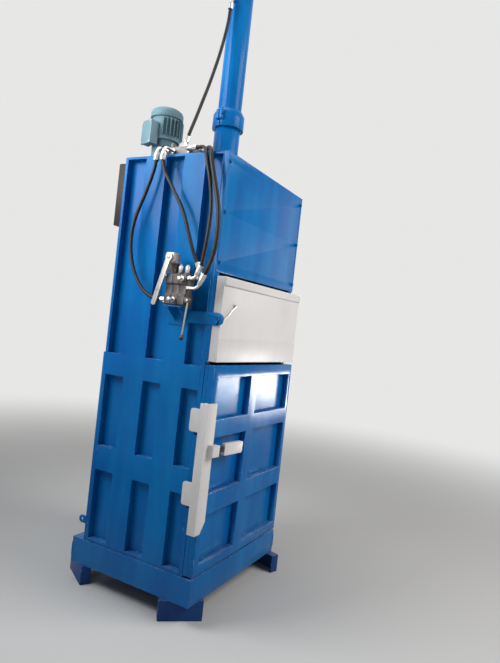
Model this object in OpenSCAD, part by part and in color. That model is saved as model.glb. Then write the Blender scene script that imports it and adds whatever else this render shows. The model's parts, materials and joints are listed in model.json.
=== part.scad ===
// Vertical hydraulic baler with a front feed door, a bale door and a top-mounted ram.
// Origin at the centre of the base on the floor, front towards -Y, +Z up, millimetres.

/* [Body] */
// Width of the press body over its side ribs
body_w = 990; // [900:5:1200]
// Distance from the centre to the front face of the front posts
body_front = 368; // [340:2:420]
// Distance from the centre to the back face of the upper rear posts
body_rear = 340; // [320:2:400]
// Height of the body top above the floor
body_top = 2540; // [2450:5:2700]
// Depth of the pressed ribs on the sides and doors
rib_d = 40; // [25:1:50]
// Sheet thickness of the pressed ribs
rib_t = 5; // [3:0.5:8]
// Thickness of the flat liner plates
liner_t = 6; // [4:1:10]
// Width of the front posts along the side
front_post_d = 23; // [18:1:40]
// Width of the rear posts along the side
rear_post_d = 15; // [12:1:40]
// Wall of the post tubes
post_t = 4; // [3:0.5:6]
// Thickness of the straps that stiffen the lower rear posts
rear_strap_t = 12; // [6:1:20]

/* [Side ribs] */
// Width of an upright side rib
rib_w = 145; // [120:1:160]
// Distance between the centres of the two upright side ribs
rib_pitch = 270; // [240:2:300]
// Centre of the front upright rib
front_rib_y = -160; // [-180:2:-140]
// Height of the bottom rib of the side walls
sill_h = 20; // [12:1:40]
// Bottom of the middle cross rib
mid_band_z = 690; // [640:5:740]
// Height of the middle cross rib
mid_band_h = 142; // [100:2:160]
// Bottom of the upper cross rib
top_band_z = 1255; // [1200:5:1300]
// Height of the upper cross rib
top_band_h = 130; // [100:2:160]
// Height of the rim along the top of the side walls
rim_h = 14; // [10:1:30]

/* [Base] */
// Stand-out of the base skirt beyond each side of the body
base_out = 5; // [3:1:60]
// Depth of the base skirt
base_d = 860; // [840:5:950]
// Height of the base rails
rail_h = 147; // [120:1:180]
// Width of the base rail flanges
rail_flange = 80; // [76:1:100]
// Plate thickness of the base rails
rail_t = 8; // [5:1:10]
// Height of the feet under the base
foot_h = 113; // [80:1:130]
// Length of one foot across its corner
foot_len = 245; // [200:5:260]
// Flange width of a foot
foot_flange = 60; // [40:2:80]
// Plate thickness of a foot
foot_t = 8; // [6:1:12]
// Distance from a base side to the middle of a foot
foot_in_x = 49; // [45:1:90]
// Distance from the base front to the middle of a foot
foot_in_y = 74; // [50:1:100]
// Turn of a foot from the base front
foot_turn = 50; // [40:1:60]
// Height of the floor slats
slat_h = 25; // [15:1:40]
// Width of the slots for the tie wires
wire_slot = 24; // [16:1:30]
// Number of slats across the chamber
slat_count = 5; // [4:1:6]

/* [Bale door] */
// Bottom edge of the bale door
door_z = 272; // [268:1:300]
// Top edge of the bale door
door_top = 1400; // [1390:1:1405]
// Gap between the posts and a closed bale door
door_gap = 2; // [1:0.5:3]
// Thickness of the slats on the inside of the bale door
door_slat_t = 16; // [10:1:18]
// Shortfall of each door at each side of the body
door_side_gap = 2; // [1:0.5:4]
// Width of the bars behind the side edges of the bale door
edge_bar = 38; // [20:1:38]
// Width of the left stile of the bale door
left_stile = 50; // [40:1:80]
// Width of the right stile of the bale door
right_stile = 36; // [30:1:60]
// Width of the middle stile of the bale door
mid_stile = 84; // [60:2:100]
// Centre of the middle stile of the bale door
mid_stile_x = -31; // [-50:1:50]
// Height of the bottom rail of the bale door
bottom_rail = 53; // [38:1:68]
// Height of the top rail of the bale door
top_rail = 65; // [50:1:80]
// Bottom of the lower middle rail of the bale door
low_rail_z = 590; // [560:5:620]
// Height of the lower middle rail
low_rail_h = 112; // [80:2:120]
// Bottom of the upper middle rail of the bale door
high_rail_z = 1008; // [980:4:1040]
// Height of the upper middle rail
high_rail_h = 98; // [80:2:120]

/* [Feed door] */
// Bottom edge of the feed door
feed_z = 1418; // [1412:1:1430]
// Top edge of the feed door
feed_top = 1874; // [1850:1:1882]
// Depth of the feed door pan
feed_d = 48; // [36:1:52]
// Sheet thickness of the feed door
feed_t = 4; // [3:0.5:6]
// Height of the rolled ledge along the top of the feed door
ledge_h = 50; // [36:1:60]
// Stand-out of the rolled ledge
ledge_d = 10; // [6:1:12]
// Height of the doubler along the bottom of the feed door
kick_h = 128; // [100:2:150]
// Thickness of that doubler
kick_t = 3; // [2:0.5:4]
// Width of one stiffener inside the feed door
feed_rib_w = 60; // [40:2:80]

/* [Cover] */
// Bottom edge of the bolted front cover
cover_z = 1896; // [1890:1:1920]
// Thickness of the front cover
cover_t = 6; // [4:1:8]
// Number of bolts down each side of the cover
cover_bolts_n = 3; // [3:1:5]
// Radius of a cover bolt's washer
washer_r = 13; // [10:0.5:15]
// Width across the flats of a cover bolt's head
bolt_af = 17; // [13:1:19]
// Distance of the outer bolts from the ends of the cover
bolt_inset = 50; // [35:1:80]

/* [Hinges] */
// Distance of the hinge axis from the side of the body
hinge_out = 15; // [15:0.5:20]
// Distance of the hinge axis in front of the posts
hinge_front = 36; // [34:1:40]
// Outer radius of a hinge knuckle
knuckle_r = 16; // [14:0.5:16]
// Radius of a hinge pin
hinge_pin_r = 8; // [6:0.5:10]
// Radial running clearance of a hinge pin
pin_fit = 0.05; // [0.02:0.01:0.1]
// Length of one knuckle
knuckle_h = 42; // [36:1:50]
// Gap between neighbouring knuckles
knuckle_gap = 0.6; // [0.4:0.1:1]
// Thickness of a hinge leaf
leaf_t = 10; // [8:1:12]
// Height of the bottom of the lowest bale door hinge
low_hinge_z = 350; // [330:5:400]
// Distance between bale door hinges
hinge_pitch = 400; // [360:5:420]
// Height of the bottom of the lower feed door hinge
feed_hinge_z = 1440; // [1430:5:1460]
// Distance between feed door hinges
feed_hinge_pitch = 275; // [240:5:290]

/* [Latch] */
// Bottom of the latch bar
latch_z = 510; // [500:5:540]
// Length of the latch bar
latch_h = 690; // [650:5:720]
// Width of the latch bar's front leg
latch_w = 90; // [80:1:100]
// Depth of the latch bar's side leg
latch_d = 50; // [46:1:60]
// Plate thickness of the latch bar
latch_t = 12; // [8:1:14]
// Reach of the latch lugs behind the front of the body
hook_in = 28; // [25:1:40]
// Height of a latch lug
lug_h = 122; // [110:1:130]
// Bottom of the lower lug above the bottom of the latch bar
low_lug_up = 148; // [140:1:160]
// Distance between the two lugs
lug_pitch = 388; // [360:2:400]
// Travel of the latch bar
latch_travel = 70; // [50:1:80]
// Gap between the side leg and the door's edge
latch_gap = 35; // [32:1:38]
// Sliding clearance of the latch guides
latch_fit = 0.8; // [0.4:0.1:0.9]
// Corner cut at the bottom of the front leg
latch_cut = 60; // [40:1:70]
// Height of one latch guide
guide_h = 90; // [70:2:110]
// Height of the block that holds the latch handle
socket_h = 60; // [48:1:68]
// Depth of that block
socket_d = 36; // [30:1:44]
// Length of that block
socket_len = 66; // [50:1:75]
// Radius of the latch handle's stem
stem_r = 11; // [8:0.5:14]
// Length of the stem between socket and grip
stem_len = 65; // [40:1:80]
// Length of the grip
grip_len = 200; // [180:5:230]
// Height of the grip
grip_h = 66; // [50:1:70]
// Thickness of the grip
grip_t = 24; // [23:1:28]
// Height of the handle above the bottom of the latch bar
handle_up = 444; // [400:2:460]
// Turn of the handle below the horizontal
handle_tilt = 3; // [0:0.5:6]

/* [Cylinder] */
// Outer radius of the cylinder barrel
barrel_r = 75; // [65:1:78]
// Wall of the cylinder barrel
barrel_t = 11; // [8:0.5:14]
// Length of the cylinder barrel
barrel_len = 1210; // [1180:5:1300]
// Radius of the piston rod
rod_r = 40; // [30:1:45]
// Position of the cylinder axis
ram_y = -24; // [-30:1:20]
// Stroke of the ram
stroke = 1000; // [900:10:1020]
// Thickness of the cylinder mounting plate
mount_t = 16; // [12:1:20]
// Side of the square mounting plate
mount_w = 300; // [280:2:320]
// Distance between the mounting bolts
mount_pitch = 250; // [240:2:260]
// Radius of a mounting bolt
mount_bolt_r = 10; // [8:1:11]
// Wall of the mounting sleeve
sleeve_t = 6; // [5:0.5:8]
// Height of the mounting sleeve
sleeve_h = 300; // [260:5:340]
// Radius of the clamp collar
collar_r = 100; // [98:1:112]
// Height of the clamp collar
collar_h = 118; // [100:2:130]
// Thickness of the barrel's end cap
cap_t = 30; // [20:1:40]
// Length of the gland in the lower end of the barrel
gland_len = 50; // [40:1:60]
// Length of the piston
piston_len = 60; // [50:1:70]
// Depth of the head beams
beam_h = 100; // [80:2:120]
// Flange width of the head beams
beam_w = 70; // [60:1:80]
// Plate thickness of the head beams
beam_t = 8; // [6:1:10]

/* [Platen] */
// Height of the platen's underside at rest
platen_z = 1905; // [1900:1:1920]
// Depth of the platen's bottom bars
platen_bar_h = 80; // [60:2:90]
// Wall of the platen's bars
platen_bar_t = 6; // [5:0.5:8]
// Clearance between the platen and the walls
platen_gap = 12; // [10:1:16]
// Height of the platen's cross beams
platen_beam_h = 90; // [70:2:100]
// Sliding clearance of the guide shoes
shoe_fit = 0.8; // [0.5:0.1:0.9]

/* [Power pack] */
// Radius of the motor's stator body
stator_r = 88; // [80:1:92]
// Height of the stator
stator_h = 120; // [110:2:200]
// Height of one cooling fin above the stator
fin_h = 16; // [8:1:16]
// Thickness of a cooling fin
fin_t = 4; // [3:0.5:5]
// Number of places for fins round the stator
fin_count = 28; // [20:2:32]
// Width of the terminal box
terminal_w = 92; // [80:2:100]
// Height of the terminal box
terminal_h = 132; // [112:2:140]
// Reach of the terminal box beyond the stator
terminal_reach = 47; // [42:1:56]
// Turn of the terminal box round the motor
terminal_turn = 163; // [130:1:180]
// Radius of the fan cover
fan_r = 98; // [92:1:112]
// Height of the fan cover
fan_h = 72; // [62:2:110]
// Height of the motor's bell housing
bell_h = 150; // [110:2:170]
// Distance from the left side of the body to the motor's axis
motor_in = 165; // [161:2:295]
// Position of the motor's axis behind the middle of the body
motor_y = 202; // [200:2:225]
// Width of the oil tank
tank_w = 700; // [600:5:760]
// Depth of the oil tank
tank_d = 133; // [120:1:150]
// Height of the oil tank
tank_h = 376; // [340:2:390]
// Distance from the left side of the body to the oil tank
tank_in = 95; // [85:1:145]
// Wall of the oil tank
tank_t = 4; // [3:0.5:5]
// Thickness of the top plate that carries the motor
top_plate_t = 6; // [5:1:10]

/* [Valve] */
// Width of one valve section
section_w = 44; // [40:1:48]
// Depth of the valve sections
section_d = 78; // [70:1:84]
// Height of the valve sections
section_h = 170; // [150:2:180]
// Height of the valve shelf's upper face
shelf_z = 1692; // [1685:1:1700]
// Thickness of the valve shelf
shelf_t = 8; // [6:1:10]
// Front end of the valve sections
valve_front = -262; // [-268:1:-255]
// Stand-out of the valve sections beyond the side of the body
valve_stand = 107; // [103:1:115]
// Length of the spool lever below its pivot
spool_lever_len = 185; // [150:5:200]
// Length of the side lever between its hub and its end
side_lever_len = 256; // [220:2:270]
// Height of the catch arm
arm_h = 64; // [50:1:70]
// Thickness of the catch arm
arm_t = 10; // [8:1:12]

/* [Hoses] */
// Radius of the thin hoses
hose_r = 10; // [8:0.5:12]
// Radius of the pressure hoses
big_hose_r = 12; // [10:0.5:14]
// Radius of a hose ferrule
ferrule_r = 14; // [13:0.5:16]
// Radius of a pipe elbow
elbow_r = 9; // [7:0.5:10]

/* [Hidden] */
$fn = 40;

blue = [0.04, 0.33, 0.66];
white = [0.88, 0.87, 0.86];
steel = [0.72, 0.72, 0.73];
dark = [0.12, 0.12, 0.13];
teal = [0.35, 0.48, 0.52];
iron = [0.36, 0.32, 0.30];

half_w = body_w / 2;
base_w = body_w + 2 * base_out;
base_top = foot_h + rail_h;
liner_x = half_w - rib_d;
inner_x = liner_x - liner_t;
side_front = -body_front + front_post_d;
back_y = body_rear - rear_post_d;
wall_h = body_top - base_top;
chamber_w = 2 * inner_x;
slat_w = (chamber_w - (slat_count - 1) * wire_slot) / slat_count;
slat_step = slat_w + wire_slot;
rear_rib_y = front_rib_y + rib_pitch;

door_back = -body_front - door_gap;
skin_back = door_back - door_slat_t;
door_front = skin_back - liner_t - rib_d;
door_left = -half_w + door_side_gap;
door_right = half_w - door_side_gap;
door_w = door_right - door_left;
hinge_x = half_w + hinge_out;
hinge_y = -body_front - hinge_front;
hinge_h = 3 * knuckle_h + 2 * knuckle_gap;
hinge_z = concat([for (i = [0:2]) low_hinge_z + i * hinge_pitch],
                 [for (i = [0:1]) feed_hinge_z + i * feed_hinge_pitch]);

leg_front = door_front - 2;
leg_face = leg_front - latch_t;
side_leg_in = door_left - latch_gap;
side_leg_out = side_leg_in - latch_t;
side_leg_back = leg_face + latch_d;
lug_back = -body_front + hook_in;
lug_corner_r = 14;
tooth_t = 10;
tooth_h = 56;
tooth_x = -half_w - 9;
keeper_back = lug_back - tooth_t - 3;
socket_in = 35;
socket_y = leg_face - socket_d / 2;
stem_in = 8;
weld_in = 1;
grip_x = socket_len + stem_len;

mount_z = body_top + mount_t;
barrel_z = mount_z;
barrel_top = barrel_z + barrel_len;
bore_r = barrel_r - barrel_t;
sleeve_r = barrel_r + 0.5 + sleeve_t;
collar_z = mount_z + sleeve_h;
piston_z = barrel_top - 12 - piston_len;
beam_y = [ram_y - mount_pitch / 2, ram_y + mount_pitch / 2];

platen_top = platen_z + platen_bar_h;
platen_front = -body_front + 18;
platen_back = back_y - platen_gap;
platen_half = inner_x - platen_gap;
platen_frame_top = platen_top + platen_beam_h;

motor_x = -half_w + motor_in;
motor_z = body_top;
bell_flange_r = stator_r + 16;
stator_z = motor_z + bell_h;
fan_z = stator_z + stator_h;
tank_x = -half_w + tank_in + tank_w / 2;
tank_y = body_rear + rear_strap_t;
tank_z = body_top - tank_h - 4;

manifold_lo = [-inner_x + 8, -150, body_top];
manifold_hi = [-inner_x + 88, motor_y - bell_flange_r, body_top + 62];
port_z = body_top + 36;
valve_out = half_w + valve_stand;
valve_in = -valve_out + section_d;
section_count = 3;
valve_back = valve_front + section_count * section_w;
valve_top = shelf_z + section_h;
valve_x = -valve_out + section_d / 2;
spool_pivot = [-valve_out + 14, valve_front - 18, shelf_z + 34];
spool_lever_lean = 5;
side_pivot = [-valve_out - 14, valve_front + 2.6 * section_w, valve_top + 84];
side_lever_lean = 16;
bracket_front = valve_front + 30;
arm_z = shelf_z - shelf_t - arm_h - 8;
arm_front = door_front - 24;
pivot_r = 6;
gland_r = 6;

// Elbows: straight run, bend radius, turn and ferrule length
block_bend = 30;
small_bend = 26;
top_elbow = [20, 40, 21, 40];
front_elbow = [14, 26, 45, 40];
barrel_elbow = [8, small_bend, 90, 54];

// Ports of the block: two on its side, one ahead of them, one on its front and one on its top
side_ports = [80, 34];
front_port_y = -75;
front_port_x = manifold_lo.x + 16;
top_port = [manifold_lo.x + 32, -16];
barrel_port = barrel_r + 9;
barrel_port_z = barrel_top - 116;

// Front ports of the valve: distance in from its outer face, height above the shelf, and the elbow's sizes
valve_ports = [[61, 152, 18, 26, 115, 54], [20, 98, 40, 36, 65, 62], [18, 150, 24, 30, 65, 56]];
return_port = [40, 30];

// How far an elbow's end lies from its start: along its start direction and along its turn
function elbow_reach(run, bend_r, turn, ferrule) =
    [run + bend_r * sin(turn) + ferrule * cos(turn), bend_r * (1 - cos(turn)) + ferrule * sin(turn)];

// End of a valve port's elbow, where its hose begins
function port_end(port) = let (reach = elbow_reach(port[2], port[3], port[4], port[5]))
    [-valve_out + port[0], valve_front - reach[0], shelf_z + port[1] + reach[1]];

// A point beside the body, so far out from its side and so far above or below its top
function beside(out, y, up) = [-half_w - out, y, body_top + up];

// Hose routes, from the block or the barrel down to the valve
hose_a_end = [-valve_out + return_port.x, valve_back + 46, shelf_z + return_port.y];
hose_a_route = [beside(37, 80, -42), beside(41, 92, -120), beside(45, 130, -240), beside(47, 178, -370),
    hose_a_end + [17, 274, 318], hose_a_end + [12, 242, 188], hose_a_end + [5, 174, 78],
    hose_a_end + [0, 84, 12], hose_a_end];
hose_b_end = port_end(valve_ports[0]);
hose_b_route = [beside(37, 34, -42), beside(39, 6, -112), beside(45, -66, -210), beside(53, -150, -325),
    hose_b_end + [-12, 71, 160], hose_b_end + [-6, 35, 67], hose_b_end];
hose_c_end = port_end(valve_ports[1]);
front_reach = elbow_reach(front_elbow[0], front_elbow[1], front_elbow[2], front_elbow[3]);
hose_c_route = [[front_port_x - front_reach[1], manifold_lo.y - front_reach[0], port_z - 2],
    beside(-12, -236, 27), beside(9, -259, 13), beside(27, -278, -10), beside(41, -292, -42),
    beside(51, -311, -90), beside(58, -333, -148), beside(65, -357, -212),
    hose_c_end + [15, -20, 395], hose_c_end + [9, -38, 326], hose_c_end + [4, -48, 255],
    hose_c_end + [1, -50, 185], hose_c_end + [0, -43, 118], hose_c_end + [0, -26, 54], hose_c_end];
hose_d_end = port_end(valve_ports[2]);
hose_d_route = [[manifold_lo.x - 35, front_port_y - 75, port_z],
    beside(-14, -172, 35), beside(-3, -197, 31), beside(11, -219, 21), beside(25, -239, 3),
    beside(38, -256, -25), beside(48, -273, -66), beside(55, -292, -115), beside(59, -311, -170),
    beside(62, -328, -235), hose_d_end + [23, -4, 330], hose_d_end + [17, -11, 255],
    hose_d_end + [8, -13, 170], hose_d_end + [1, -10, 85], hose_d_end];
top_reach = elbow_reach(top_elbow[0], top_elbow[1], top_elbow[2], top_elbow[3]);
hose_e_start = [top_port.x + top_reach[1], top_port.y, manifold_hi.z + top_reach[0]];
barrel_reach = elbow_reach(barrel_elbow[0], barrel_elbow[1], barrel_elbow[2], barrel_elbow[3]);
hose_e_end = [-barrel_port - barrel_reach[0], ram_y, barrel_port_z - barrel_reach[1]];
hose_e_route = [hose_e_start, hose_e_start + [22, 0, 56], hose_e_start + [55, -1, 136],
    hose_e_start + [102, -2, 256], hose_e_start + [147, -4, 376], hose_e_end + [-86, 3, -400],
    hose_e_end + [-52, 2, -290], hose_e_end + [-25, 1, -180], hose_e_end + [-6, 0, -80], hose_e_end];

// A box between two corners
module slab(lo, hi) {
    translate(lo) cube(hi - lo);
}

// An outline in (Y, Z) pushed along X
module along_x(x0, x1) {
    translate([x0, 0, 0]) rotate([90, 0, 90]) linear_extrude(x1 - x0) children();
}

// An outline in (X, Z) pushed along Y
module along_y(y0, y1) {
    translate([0, y1, 0]) rotate([90, 0, 0]) linear_extrude(y1 - y0) children();
}

// A round bar between two heights
module round_z(x, y, z0, z1, r) {
    translate([x, y, z0]) cylinder(h = z1 - z0, r = r);
}

// A rectangle with round corners, from its low corner
module round_rect(size, r) {
    translate([r, 0]) square([size.x - 2 * r, size.y]);
    translate([0, r]) square([size.x, size.y - 2 * r]);
    for (x = [r, size.x - r], y = [r, size.y - r]) translate([x, y]) circle(r);
}

// One window outline of a pressed lattice, from its low and high corners
module window(win, grow = 0) {
    translate([win[0] - grow, win[1] - grow])
        square([win[2] - win[0] + 2 * grow, win[3] - win[1] + 2 * grow]);
}

// A pressed lattice: a face with windows, a wall round each window and an outer rim
module lattice(lo, hi, windows) {
    difference() {
        translate(lo) square(hi - lo);
        for (win = windows) window(win);
    }
}
module lattice_walls(lo, hi, windows) {
    difference() {
        union() {
            for (win = windows) window(win, rib_t);
            difference() {
                translate(lo) square(hi - lo);
                translate(lo + [rib_t, rib_t]) square(hi - lo - 2 * [rib_t, rib_t]);
            }
        }
        for (win = windows) window(win);
    }
}

// Base

// One mitred channel rail with its web on the outside
module base_rail(len) {
    intersection() {
        along_x(-len / 2, len / 2) difference() {
            square([rail_flange, rail_h]);
            translate([rail_t, rail_t]) square([rail_flange, rail_h - 2 * rail_t]);
        }
        linear_extrude(rail_h) polygon([
            [-len / 2, 0], [len / 2, 0],
            [len / 2 - rail_flange, rail_flange], [-len / 2 + rail_flange, rail_flange]
        ]);
    }
}

module base_rails() {
    color(blue) for (side = [0, 180]) rotate([0, 0, side]) {
        translate([0, -base_d / 2, foot_h]) base_rail(base_w);
        translate([-base_w / 2, 0, foot_h]) rotate([0, 0, -90]) base_rail(base_d);
    }
    cross_members();
}

// Channels under the floor, from the front rail to the rear rail
module cross_members() {
    reach = base_d / 2 - rail_flange;
    cross_w = 60;
    color(blue) for (x = [-slat_step, slat_step])
        translate([x - cross_w / 2, 0, foot_h]) along_y(-reach, reach) difference() {
            square([cross_w, rail_h]);
            translate([rail_t, -1]) square([cross_w - 2 * rail_t, rail_h - rail_t + 1]);
        }
}

// One foot: a channel with a top plate, set across a base corner, web outwards
module foot() {
    translate([-foot_len / 2, 0, 0]) {
        linear_extrude(foot_h) difference() {
            square([foot_len, foot_flange]);
            translate([foot_t, foot_t]) square([foot_len - 2 * foot_t, foot_flange]);
        }
        translate([0, 0, foot_h - foot_t]) cube([foot_len, foot_flange, foot_t]);
    }
}

// Middle of each foot's web as distances in from the base's left and front sides or from its right and
// rear sides, and the foot's turn; the second and third foot stand askew
feet_left = [[foot_in_x, foot_in_y, -foot_turn], [foot_in_x - 6, base_d - 3, -120]];
feet_right = [[-10, 50, 72], [foot_in_x, base_d - foot_in_y, 180 - foot_turn]];

module feet() {
    color([0.03, 0.16, 0.36]) {
        for (f = feet_left) translate([-base_w / 2 + f[0], -base_d / 2 + f[1], 0]) rotate([0, 0, f[2]]) foot();
        for (f = feet_right) translate([base_w / 2 - f[0], -base_d / 2 + f[1], 0]) rotate([0, 0, f[2]]) foot();
    }
}

// Inverted channels side by side, with slots for the tie wires between them
module floor_slats() {
    color(blue) for (i = [0:slat_count - 1])
        translate([-inner_x + i * slat_step, 0, base_top]) along_y(-body_front + 6, back_y) difference() {
            square([slat_w, slat_h]);
            translate([liner_t, -1]) square([slat_w - 2 * liner_t, slat_h - liner_t + 1]);
        }
}

// Body

module post_tube(size) {
    linear_extrude(wall_h) difference() {
        square(size);
        translate([post_t, post_t]) square(size - 2 * [post_t, post_t]);
    }
}

module corner_posts() {
    post_w = rib_d + liner_t;
    strap_top = top_band_z + top_band_h;
    color(blue) for (mx = [0, 1]) mirror([mx, 0, 0]) {
        translate([-half_w, -body_front, base_top]) post_tube([post_w, front_post_d]);
        translate([-half_w, back_y, base_top]) post_tube([post_w, rear_post_d]);
        slab([-half_w, body_rear, base_top], [-inner_x, body_rear + rear_strap_t, strap_top]);
    }
}

// Window columns between the upright ribs, and rows between the cross ribs
side_cols = [
    [side_front + rib_t, front_rib_y - rib_w / 2],
    [front_rib_y + rib_w / 2, rear_rib_y - rib_w / 2],
    [rear_rib_y + rib_w / 2, back_y - rib_t]
];
side_rows = [
    [base_top + sill_h, mid_band_z],
    [mid_band_z + mid_band_h, top_band_z],
    [top_band_z + top_band_h, body_top - rim_h]
];
side_windows = [for (c = side_cols, r = side_rows) [c[0], r[0], c[1], r[1]]];

module side_wall() {
    lo = [side_front, base_top];
    hi = [back_y, body_top];
    along_x(-half_w, -half_w + rib_t) lattice(lo, hi, side_windows);
    along_x(-half_w, -liner_x) lattice_walls(lo, hi, side_windows);
}

module side_wall_left() {
    color(blue) side_wall();
}

module side_wall_right() {
    color(blue) mirror([1, 0, 0]) side_wall();
}

module side_liners() {
    color(blue) for (mx = [0, 1]) mirror([mx, 0, 0])
        slab([-liner_x, side_front, base_top], [-inner_x, back_y, body_top]);
}

module back_liner() {
    color(blue) slab([-inner_x, back_y, base_top], [inner_x, back_y + liner_t, body_top]);
}

// Channels across the back plate
module back_ribs() {
    rib_h = 110;
    low_rib_up = 150;
    tank_rib_up = 130;
    depth = body_rear + rear_strap_t - back_y - liner_t;
    rib_z = [base_top + low_rib_up, mid_band_z, top_band_z, cover_z - rib_h, tank_z + tank_rib_up];
    color(blue) for (z = rib_z)
        translate([0, back_y + liner_t, z]) along_x(-inner_x, inner_x) difference() {
            square([depth, rib_h]);
            translate([-1, rib_t]) square([depth - rib_t + 1, rib_h - 2 * rib_t]);
        }
}

// Eyes at the rear corners for the chains that tip the bale out
module rear_lugs() {
    lug_len = 52;
    lug_r = 22;
    lug_t = 10;
    lug_up = 94;
    eye_r = 9;
    color(blue) for (mx = [0, 1]) mirror([mx, 0, 0])
        translate([-half_w, body_rear + rear_strap_t, base_top + lug_up]) along_x(0, lug_t) difference() {
            union() {
                square([lug_len - lug_r, 2 * lug_r]);
                translate([lug_len - lug_r, lug_r]) circle(lug_r);
            }
            translate([lug_len - lug_r, lug_r]) circle(eye_r);
        }
}

cover_bolt_x = half_w - (rib_d + liner_t) / 2;
cover_bolt_step = (body_top - cover_z - 2 * bolt_inset) / (cover_bolts_n - 1);
cover_bolt_spots = [for (x = [-cover_bolt_x, cover_bolt_x], i = [0:cover_bolts_n - 1])
    [x, cover_z + bolt_inset + i * cover_bolt_step]];

module front_cover() {
    color(blue) along_y(-body_front - cover_t, -body_front) difference() {
        translate([-half_w, cover_z]) square([body_w, body_top - cover_z]);
        for (spot = cover_bolt_spots) translate(spot) circle(bolt_af / 4);
    }
}

// Hexagon bolts with washers, their shanks in the posts
module cover_bolts() {
    washer_t = 2.5;
    head_t = 7;
    face = -body_front - cover_t;
    color(blue) for (spot = cover_bolt_spots) {
        along_y(face - washer_t, face) translate(spot) circle(washer_r);
        along_y(face - washer_t - head_t, face - washer_t) translate(spot) circle(bolt_af / sqrt(3), $fn = 6);
        along_y(face, -body_front) translate(spot) circle(bolt_af / 4);
    }
}

// Stops behind the feed door's side edges
module feed_jambs() {
    color(blue) for (mx = [0, 1]) mirror([mx, 0, 0])
        slab([-half_w, door_front + feed_d + 1, feed_z], [-half_w + 25, -body_front, feed_top]);
}

// Head

// Channels between the side walls that carry the cylinder
module head_beams() {
    color(blue) for (y = beam_y)
        translate([0, y - beam_w / 2, body_top - beam_h]) along_x(-inner_x, inner_x) difference() {
            square([beam_w, beam_h]);
            translate([beam_t, beam_t]) square([beam_w, beam_h - 2 * beam_t]);
        }
}

module top_plate() {
    front = beam_y[1] + beam_w / 2;
    color(blue) difference() {
        slab([-inner_x, front, body_top - top_plate_t], [inner_x, back_y, body_top]);
        round_z(motor_x, motor_y, body_top - top_plate_t - 1, body_top + 1, stator_r / 2);
    }
}

mount_spots = [for (x = [-1, 1], y = [-1, 1]) [x * mount_pitch / 2, ram_y + y * mount_pitch / 2]];

// Base plate, sleeve and gussets that hold the barrel
module cylinder_mount() {
    gusset = 46;
    gusset_h = 150;
    gusset_tip = 14;
    plate_corner = 20;
    rod_gap = 8;
    color(blue) difference() {
        union() {
            translate([0, ram_y, body_top]) linear_extrude(mount_t)
                translate([-mount_w / 2, -mount_w / 2]) round_rect([mount_w, mount_w], plate_corner);
            round_z(0, ram_y, mount_z, mount_z + sleeve_h, sleeve_r);
            translate([0, ram_y, mount_z]) for (turn = [0:90:270]) rotate([0, 0, turn])
                along_y(-mount_t / 4, mount_t / 4) polygon([
                    [sleeve_r - 1, 0], [sleeve_r + gusset, 0], [sleeve_r + gusset, gusset_tip],
                    [sleeve_r + gusset_tip / 2, gusset_h], [sleeve_r - 1, gusset_h]
                ]);
        }
        round_z(0, ram_y, mount_z, mount_z + sleeve_h + 1, barrel_r);
        round_z(0, ram_y, body_top - 1, mount_z + 1, rod_r + rod_gap);
        for (spot = mount_spots) round_z(spot.x, spot.y, body_top - 1, mount_z + 1, mount_bolt_r);
    }
}

module mount_bolts() {
    head_t = 13;
    color(steel) for (spot = mount_spots) {
        round_z(spot.x, spot.y, body_top, mount_z + 4, mount_bolt_r);
        translate([spot.x, spot.y, mount_z]) difference() {
            union() {
                cylinder(h = 4, r = 1.9 * mount_bolt_r);
                translate([0, 0, 4]) cylinder(h = head_t, r = 1.7 * mount_bolt_r, $fn = 6);
            }
            translate([0, 0, -1]) cylinder(h = 5, r = mount_bolt_r);
        }
    }
}

// Barrel with its end cap, a raised boss on the cap and a boss for the top port
module cylinder_barrel() {
    color(blue) {
        difference() {
            union() {
                round_z(0, ram_y, barrel_z, barrel_top, barrel_r);
                translate([-barrel_port, ram_y, barrel_port_z]) rotate([0, 90, 0]) cylinder(h = barrel_port, r = 18);
            }
            round_z(0, ram_y, barrel_z - 1, barrel_top + 1, bore_r);
        }
        round_z(0, ram_y, barrel_top, barrel_top + cap_t, barrel_r);
        translate([0, ram_y, barrel_top + cap_t]) cylinder(h = 8, r1 = barrel_r - 12, r2 = barrel_r - 20);
    }
}

// Bushing in the barrel's lower end that the rod slides through
module cylinder_gland() {
    color(steel) difference() {
        round_z(0, ram_y, barrel_z, barrel_z + gland_len, bore_r);
        round_z(0, ram_y, barrel_z - 1, barrel_z + gland_len + 1, rod_r + 0.3);
    }
}

// Split collar with two ears, on top of the sleeve
module clamp_collar() {
    cone_h = 32;
    ear_w = 34;
    ear_h = 64;
    ear_t = 18;
    ear_up = 34;
    ear_corner = 10;
    bolt_r = 7;
    split = 6;
    color(blue) translate([0, ram_y, collar_z]) difference() {
        union() {
            cylinder(h = collar_h - cone_h, r = collar_r);
            translate([0, 0, collar_h - cone_h]) cylinder(h = cone_h, r1 = collar_r, r2 = barrel_r + 6);
            for (side = [-1, 1]) translate([-collar_r - ear_w / 2, side * (ear_t + split) / 2, ear_up])
                rotate([90, 0, 0]) translate([0, 0, -ear_t / 2]) linear_extrude(ear_t)
                    round_rect([ear_w, ear_h], ear_corner);
        }
        translate([0, 0, -1]) cylinder(h = collar_h + 2, r = barrel_r);
        translate([-collar_r - ear_w, -split / 2, -1]) cube([ear_w + collar_r / 2, split, collar_h + 2]);
        translate([-collar_r - ear_w / 4, 0, ear_up + ear_h / 2]) rotate([90, 0, 0])
            cylinder(h = 4 * ear_t, r = bolt_r, center = true);
    }
}

// Power pack

module tank_outline(inset) {
    translate([tank_x - tank_w / 2 + inset, tank_y + inset])
        round_rect([tank_w - 2 * inset, tank_d - 2 * inset], 16 - inset);
}

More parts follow.
